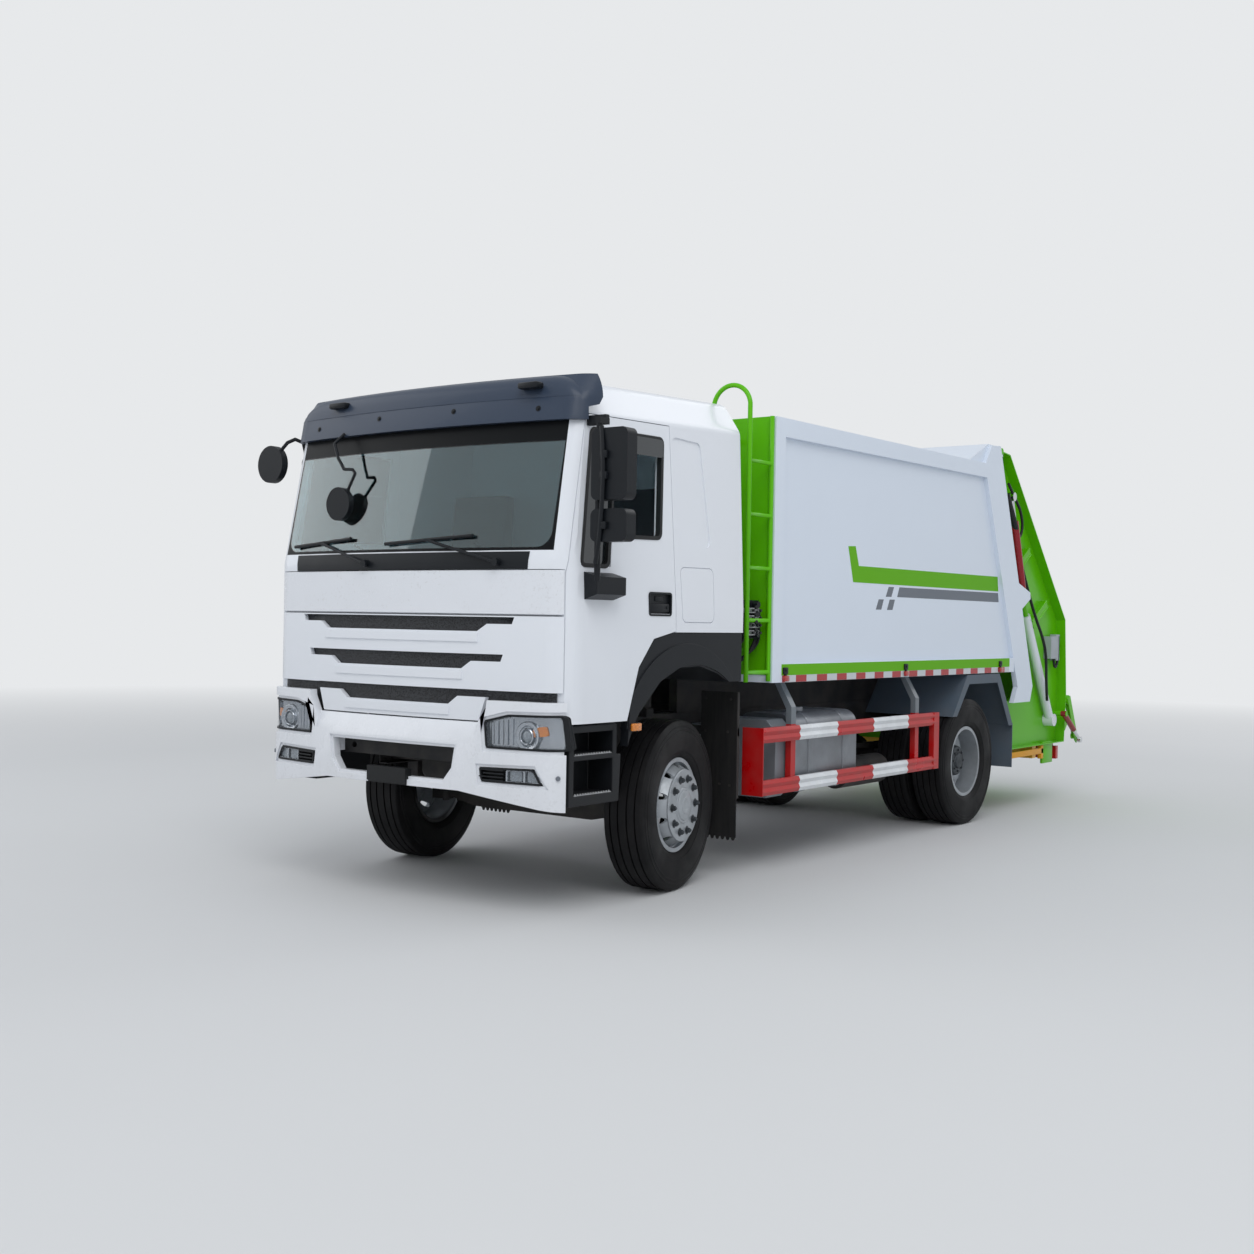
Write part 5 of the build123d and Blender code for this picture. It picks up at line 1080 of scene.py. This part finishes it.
# Mudflaps: a sheet with a serrated foot in a steel frame; a tooth's points are shares of its step and drop
flap = {
    "s": 2.112,
    "thick": 0.006,
    "inner": 0.86,
    "outer": 1.152,
    "top": 1.24,
    "foot": 0.262,
    "tooth": ((0.12, 0.0), (0.3, 0.85), (0.5, 1.0), (0.7, 0.85), (0.88, 0.0)),
    "drop": 0.022,
    "teeth": 7,
    "rails": (((1.107, 0.006, 0.525), (1.152, 0.03, 1.24), 0.003),
              ((0.4253, 0.006, 0.94), (1.152, 0.03, 1.0), 0.003)),
    "bolts": ((0.9, 1.19), (1.1, 1.19), (0.9, 0.97), (1.08, 0.97), (0.93, 0.62), (1.02, 0.615), (1.1, 0.61)),
    "boltSizes": (0.01, 0.008, 12),
}


def makeMudflaps():
    sheet, rails = forms(2)
    step = (flap["outer"] - flap["inner"]) / flap["teeth"]
    outline = [(flap["inner"], flap["top"]), (flap["inner"], flap["foot"])]
    for count in range(flap["teeth"]):
        start = flap["inner"] + count * step
        for share, down in flap["tooth"]:
            outline.append((start + step * share, flap["foot"] - flap["drop"] * down))
    outline += [(flap["outer"], flap["foot"]), (flap["outer"], flap["top"])]
    bolts = [((x, -0.006, z), (x, 0.001, z), *flap["boltSizes"]) for x, z in flap["bolts"]]
    for side, label, outward in sides:
        addPlate(sheet, [spot(outward * x, flap["s"], z) for x, z in outline], (0, flap["thick"], 0))
        addRows(rails, outward, [*flap["rails"], *bolts], flap["s"])
    made(sheet, "mudflapSheets", slotOf["mudflaps"], replaced=("mudflaps",))
    made(rails, "mudflapFrames", "frame_paint")


makeMudflaps()

# Cab steps: ribbed tread plates with bright teeth at the edge
tread = {
    "levels": (0.7, 0.93),
    "first": 0.296,
    "last": 0.644,
    "outer": 1.222,
    "ribs": (1.057, 1.091, 1.125, 1.159, 1.193),
    "rib": (0.018, 0.005, 0.0015),
    "lip": (0.012, 0.004, 0.001),
    "teeth": 14,
    "inset": 0.016,
    "tooth": (0.006, 0.003, 0.012),
    "toothSizes": (0.0075, 0.003, 8),
}


def makeTreads():
    first, last, outer, inset = tread["first"], tread["last"], tread["outer"], tread["inset"]
    wide, tall, rounded = tread["rib"]
    ribs = [((x, first, 0), (x + wide, last, tall), rounded) for x in tread["ribs"]]
    wide, tall, rounded = tread["lip"]
    edge = [((outer - wide, first, 0), (outer, last, tall), rounded)]
    step = (last - first - 2 * inset) / (tread["teeth"] - 1)
    back, low, high = tread["tooth"]
    for count in range(tread["teeth"]):
        s = first + inset + count * step
        edge.append(((outer - back, s, low), (outer - back, s, high), *tread["toothSizes"]))
    plate, bright = forms(2)
    for side, label, outward in sides:
        for level in tread["levels"]:
            addRows(plate, outward, ribs, z=level)
            addRows(bright, outward, edge, z=level)
    made(plate, "stepRibs", slotOf["cab_steps"])
    made(bright, "stepTeeth", slotOf["cab_steps"], zincSteel)


makeTreads()

# Valve stack behind the ladder: spool bodies, levers and hoses about each row's place.
# A hose's point gives x, s, its share of the row's height, what is added and its share of the drop
valves = {
    "s": 2.215,
    "rows": (1.64, 1.69, 1.74, 1.79),
    "steel": (((1.165, -0.07, -0.018), (1.205, 0.07, 0.018), 0.004),
              ((1.205, -0.045, 0), (1.222, -0.045, 0), 0.013, 0.012, 6),
              ((1.205, 0.045, 0), (1.222, 0.045, 0), 0.013, 0.012, 6),
              ((1.2, 0, 0), (1.24, -0.03, 0.02), 0.005, 0.005, 10)),
    "black": (((1.222, -0.045, 0), (1.236, -0.045, 0), 0.01, 0.009, 12),
              ((1.222, 0.045, 0), (1.236, 0.045, 0), 0.01, 0.009, 12),
              ((1.236, -0.028, 0.018), (1.25, -0.036, 0.024), 0.011, 0.012, 14)),
    "hose": 0.009,
    "hoses": (((1.19, 0.06, 1, 0, 0), (1.19, 0.11, 1, -0.01, 0), (1.15, 0.12, 1, 0, 1),
               (1.1, 0.05, 0, 1.52, 0.4), (1.02, 0.03, 0, 1.42, 0)),
              ((1.19, -0.06, 1, 0, 0), (1.19, -0.09, 1, -0.03, 0), (1.13, -0.08, 1, 0, 1),
               (1.06, -0.02, 0, 1.5, 0.3), (0.98, 0.02, 0, 1.4, 0))),
    "drop": 0.1,
    "dropStep": 0.03,
}


def makeValves():
    steel, black = forms(2)
    for count, z in enumerate(valves["rows"]):
        addRows(steel, 1, valves["steel"], valves["s"], z)
        addRows(black, 1, valves["black"], valves["s"], z)
        drop = valves["drop"] + valves["dropStep"] * count
        for line in valves["hoses"]:
            points = []
            for x, s, share, up, fall in line:
                points.append(spot(x, valves["s"] + s, share * z + up - drop * fall))
            addHose(black, points, valves["hose"])
    made(steel, "valveSpools", slotOf["valve_block"], zincSteel, bodyOf["valve_block"])
    made(black, "valveLevers", "rubber", hoseRubber, bodyOf["valve_block"])


makeValves()
print("body fittings made")

# Fittings of the tailgate's sides: hoses, rib edges, lamps, the yellow guard bar and the bin lifter's arms.
# A hose's row gives x, radius and its line
tail = {
    "hoses": ((1.185, 0.014, ((6.766, 2.484), (6.978, 2.171), (7.235, 1.831), (7.465, 1.605), (7.557, 1.438),
                              (7.571, 1.144), (7.6, 1.0))),
              (1.2, 0.03, ((6.487, 2.905), (6.593, 2.755), (6.718, 2.598))),
              (1.185, 0.013, ((6.6, 2.75), (6.76, 2.56), (6.85, 2.53), (6.915, 2.64), (6.86, 2.78),
                              (6.76, 2.86), (6.56, 3.01)))),
    "conduit": (1.11, 0.013, ((8.06, 1.62), (8.066, 1.5), (8.056, 1.38), (8.01, 1.31), (7.96, 1.33),
                              (7.95, 1.395))),
    "ribs": (((6.729, 2.8), (6.904, 2.941)), ((7.049, 2.265), (7.317, 2.431)),
             ((7.414, 1.733), (7.777, 1.938))),
    "ribX": 1.098,
    "ribHalf": 0.034,
    "ribSizes": (0.01, 0.01, 12),
    "guard": (((1.08, 6.78, 0.478), (1.12, 7.7, 0.535), 0.006),
              ((1.08, 7.64, 0.43), (1.12, 7.7, 0.56), 0.006)),
    "guardFoot": (((1.085, 7.7, 0.379), (1.11, 7.958, 0.59), 0.004),),
    "redLens": (((0.87, 8.137, 0.412), (0.94, 8.151, 0.518), 0.006),
                ((1.015, 8.137, 0.412), (1.08, 8.151, 0.518), 0.006)),
    "whiteLens": (((0.945, 8.137, 0.412), (1.01, 8.151, 0.518), 0.006),),
    "arm": (((1.122, 8.279, 0.985), (1.122, 8.505, 0.61), 0.024, 0.018, 20),
            ((1.096, 8.279, 0.985), (1.144, 8.279, 0.985), 0.048, 0.046, 28),
            ((1.1, 8.505, 0.61), (1.144, 8.505, 0.61), 0.032, 0.03, 24)),
    "eye": (1.232, 6.129, 3.262),
    "eyeSection": ((0.0, 0.02), (0.006, 0.02), (0.006, 0.032), (0.0, 0.032)),
    "eyeFacets": 32,
}


def makeTail():
    body = bodyOf["tailgate_shell"]
    for side, label, outward in sides:
        black, green, yellow, red, white, arm, eye = forms(7)
        hoses = (*tail["hoses"], tail["conduit"]) if outward == 1 else tail["hoses"]
        for x, radius, line in hoses:
            addHose(black, sideLine(outward, x, line), radius)
        for ends in tail["ribs"]:
            start, end = sideLine(outward, tail["ribX"], ends)
            along = (end - start).normalized()
            out = Vector((0, -along.z, along.y)) * tail["ribHalf"]
            for edge in (-1, 1):
                addBar(green, start + out * edge, end + out * edge, *tail["ribSizes"])
        addRows(yellow, outward, tail["guard"])
        addRows(green, outward, tail["guardFoot"])
        addRows(red, outward, tail["redLens"])
        addRows(white, outward, tail["whiteLens"])
        addRows(arm, outward, tail["arm"])
        x, s, z = tail["eye"]
        addTurned(eye, tail["eyeSection"], outward * x, s, outward, True, tail["eyeFacets"], z)
        made(arm, "lifterArm" + side, slotOf["bin_lifter"], body=bodyOf["bin_lifter"])
        made(black, "tailHoses" + side, "rubber", hoseRubber, body)
        made(green, "tailEdges" + side, slotOf["tailgate_shell"], body=body)
        made(yellow, "guardBar" + side, slotOf["tailgate_shell"], guardYellow, body)
        made(red, "tailLensRed" + side, slotOf["tail_lamps"], redLens, body)
        made(white, "tailLensWhite" + side, slotOf["tail_lamps"], clearLens, body)
        made(eye, "postEye" + side, slotOf["body_shell"], darkSteel)


makeTail()
print("tail fittings made")

# Fittings of the cab: mirror tube and glass, wiper pivots, roof lamps and the bumper's bolt caps.
# Rows of roof lamps and pivots are set off from each place
fittings = {
    "roofLamps": ((-0.725, 0.23, 3.052), (0.89, 0.23, 3.052)),
    "roofLamp": (((-0.075, -0.02, -0.012), (0.075, 0.05, 0.026), 0.012),),
    "pivots": ((-0.176, 0.19, 2.04), (0.814, 0.232, 2.04)),
    "pivot": (((-0.33, -0.078, -0.078), (-0.13, -0.01, -0.022), 0.012),
              ((0.0, -0.078, 0.002), (0.0, 0.01, 0.02), 0.03, 0.026, 24),
              ((-0.02, -0.05, 0.01), (-0.3, -0.028, 0.11), 0.011, 0.008, 12)),
    "cap": (((1.208, 0.169, 0.811), (1.217, 0.16, 0.811), 0.015, 0.012, 16),),
    "tube": ((1.335, 0.315, 2.03), (1.38, 0.288, 2.14), (1.405, 0.284, 2.45), (1.4, 0.286, 2.66),
             (1.375, 0.3, 2.8)),
    "tubeRadius": 0.014,
    "clamps": (2.24, 2.52, 2.64),
    "clamp": (((1.38, 0.278, -0.022), (1.43, 0.306, 0.022), 0.006),),
    "heads": (((1.33, 0.389, 2.175), (1.535, 0.392, 2.31), 0.0),
              ((1.33, 0.389, 2.41), (1.535, 0.392, 2.765), 0.0)),
}


def shifted(rows, x):
    return [((x + start[0], *start[1:]), (x + end[0], *end[1:]), *sizes) for start, end, *sizes in rows]


def makeFittings():
    black, glass, cap, tube = forms(4)
    for x, s, z in fittings["roofLamps"]:
        addRows(black, 1, shifted(fittings["roofLamp"], x), s, z)
    for x, s, z in fittings["pivots"]:
        addRows(black, 1, shifted(fittings["pivot"], x), s, z)
    for outward in (-1, 1):
        addRows(cap, outward, fittings["cap"])
    addRows(glass, 1, fittings["heads"])
    addHose(tube, [spot(*place) for place in fittings["tube"]], fittings["tubeRadius"])
    for z in fittings["clamps"]:
        addRows(tube, 1, fittings["clamp"], z=z)
    made(cap, "bumperCaps", slotOf["bumper"], stripeGrey)
    made(black, "cabFittings", slotOf["cowl"])
    made(glass, "mirrorGlassLeft", slotOf["mirror_left"], mirrorGlass, bodyOf["mirror_left"])
    made(tube, "mirrorTubeLeft", slotOf["mirror_left"], body=bodyOf["mirror_left"])


makeFittings()
print("cab fittings made")

# Pale floor and backdrop, and soft studio light
studio = {
    "floorSize": 160,
    "floorColor": (0.66, 0.67, 0.68),
    "aim": (0, 0, 1.2),
    "lampSize": 10,
    "lamps": (("key", (8, -11, 13), 900), ("fill", (-11, -8, 8), 260), ("back", (3, 13, 11), 350)),
    "skyColor": (0.93, 0.96, 1.0),
    "skyStrength": 0.66,
    "fadeStart": 9,
    "fadeLength": 16,
    "seenColor": (0.8, 0.815, 0.83),
}


def floorFinish():
    floor = Finish("studioFloor", studio["floorColor"], 0.75)
    floor.feed("Base Color", floor.blend(floor.noise(0.35), studio["floorColor"],
                                         tinted(studio["floorColor"], 0.97)))
    # Far off, the floor fades into the backdrop's colour
    middle = studio["fadeStart"] + studio["fadeLength"] / 2
    away = (floor.x * floor.x + floor.y * floor.y).root().above(middle, studio["fadeLength"])
    path = floor.node("ShaderNodeLightPath")
    floor.cover(away * Wave(floor.tree, path.outputs["Is Camera Ray"]), "ShaderNodeEmission",
                {"Color": (*studio["seenColor"], 1)})
    return floor.material


def makeStudio():
    form = bmesh.new()
    bmesh.ops.create_grid(form, x_segments=1, y_segments=1, size=studio["floorSize"] / 2)
    mesh = meshOf(form, "studioFloor")
    floor = linked(mesh, "studioFloor")
    mesh.materials.append(floorFinish())
    for key, place, power in studio["lamps"]:
        data = bpy.data.lights.new(key + "Lamp", "AREA")
        data.size = studio["lampSize"]
        data.energy = power
        lamp = linked(data, key + "Lamp")
        lamp.location = place
        lamp.rotation_euler = (Vector(studio["aim"]) - Vector(place)).to_track_quat("-Z", "Y").to_euler()
    world = bpy.data.worlds.new("studioSky")
    bpy.context.scene.world = world
    world.use_nodes = True
    tree = world.node_tree
    sky = tree.nodes["Background"]
    sky.inputs[0].default_value = (*studio["skyColor"], 1)
    sky.inputs[1].default_value = studio["skyStrength"]
    seen = tree.nodes.new("ShaderNodeBackground")
    seen.inputs[0].default_value = (*studio["seenColor"], 1)
    path = tree.nodes.new("ShaderNodeLightPath")
    either = Wave(tree, path.outputs["Is Camera Ray"]).larger(Wave(tree, path.outputs["Is Transmission Ray"]))
    choice = tree.nodes.new("ShaderNodeMixShader")
    for socket, source in zip(choice.inputs, (either.socket, sky.outputs[0], seen.outputs[0])):
        tree.links.new(source, socket)
    tree.links.new(choice.outputs[0], tree.nodes["World Output"].inputs[0])
    bpy.context.scene.view_settings.view_transform = "Standard"


makeStudio()
print("studio lit")
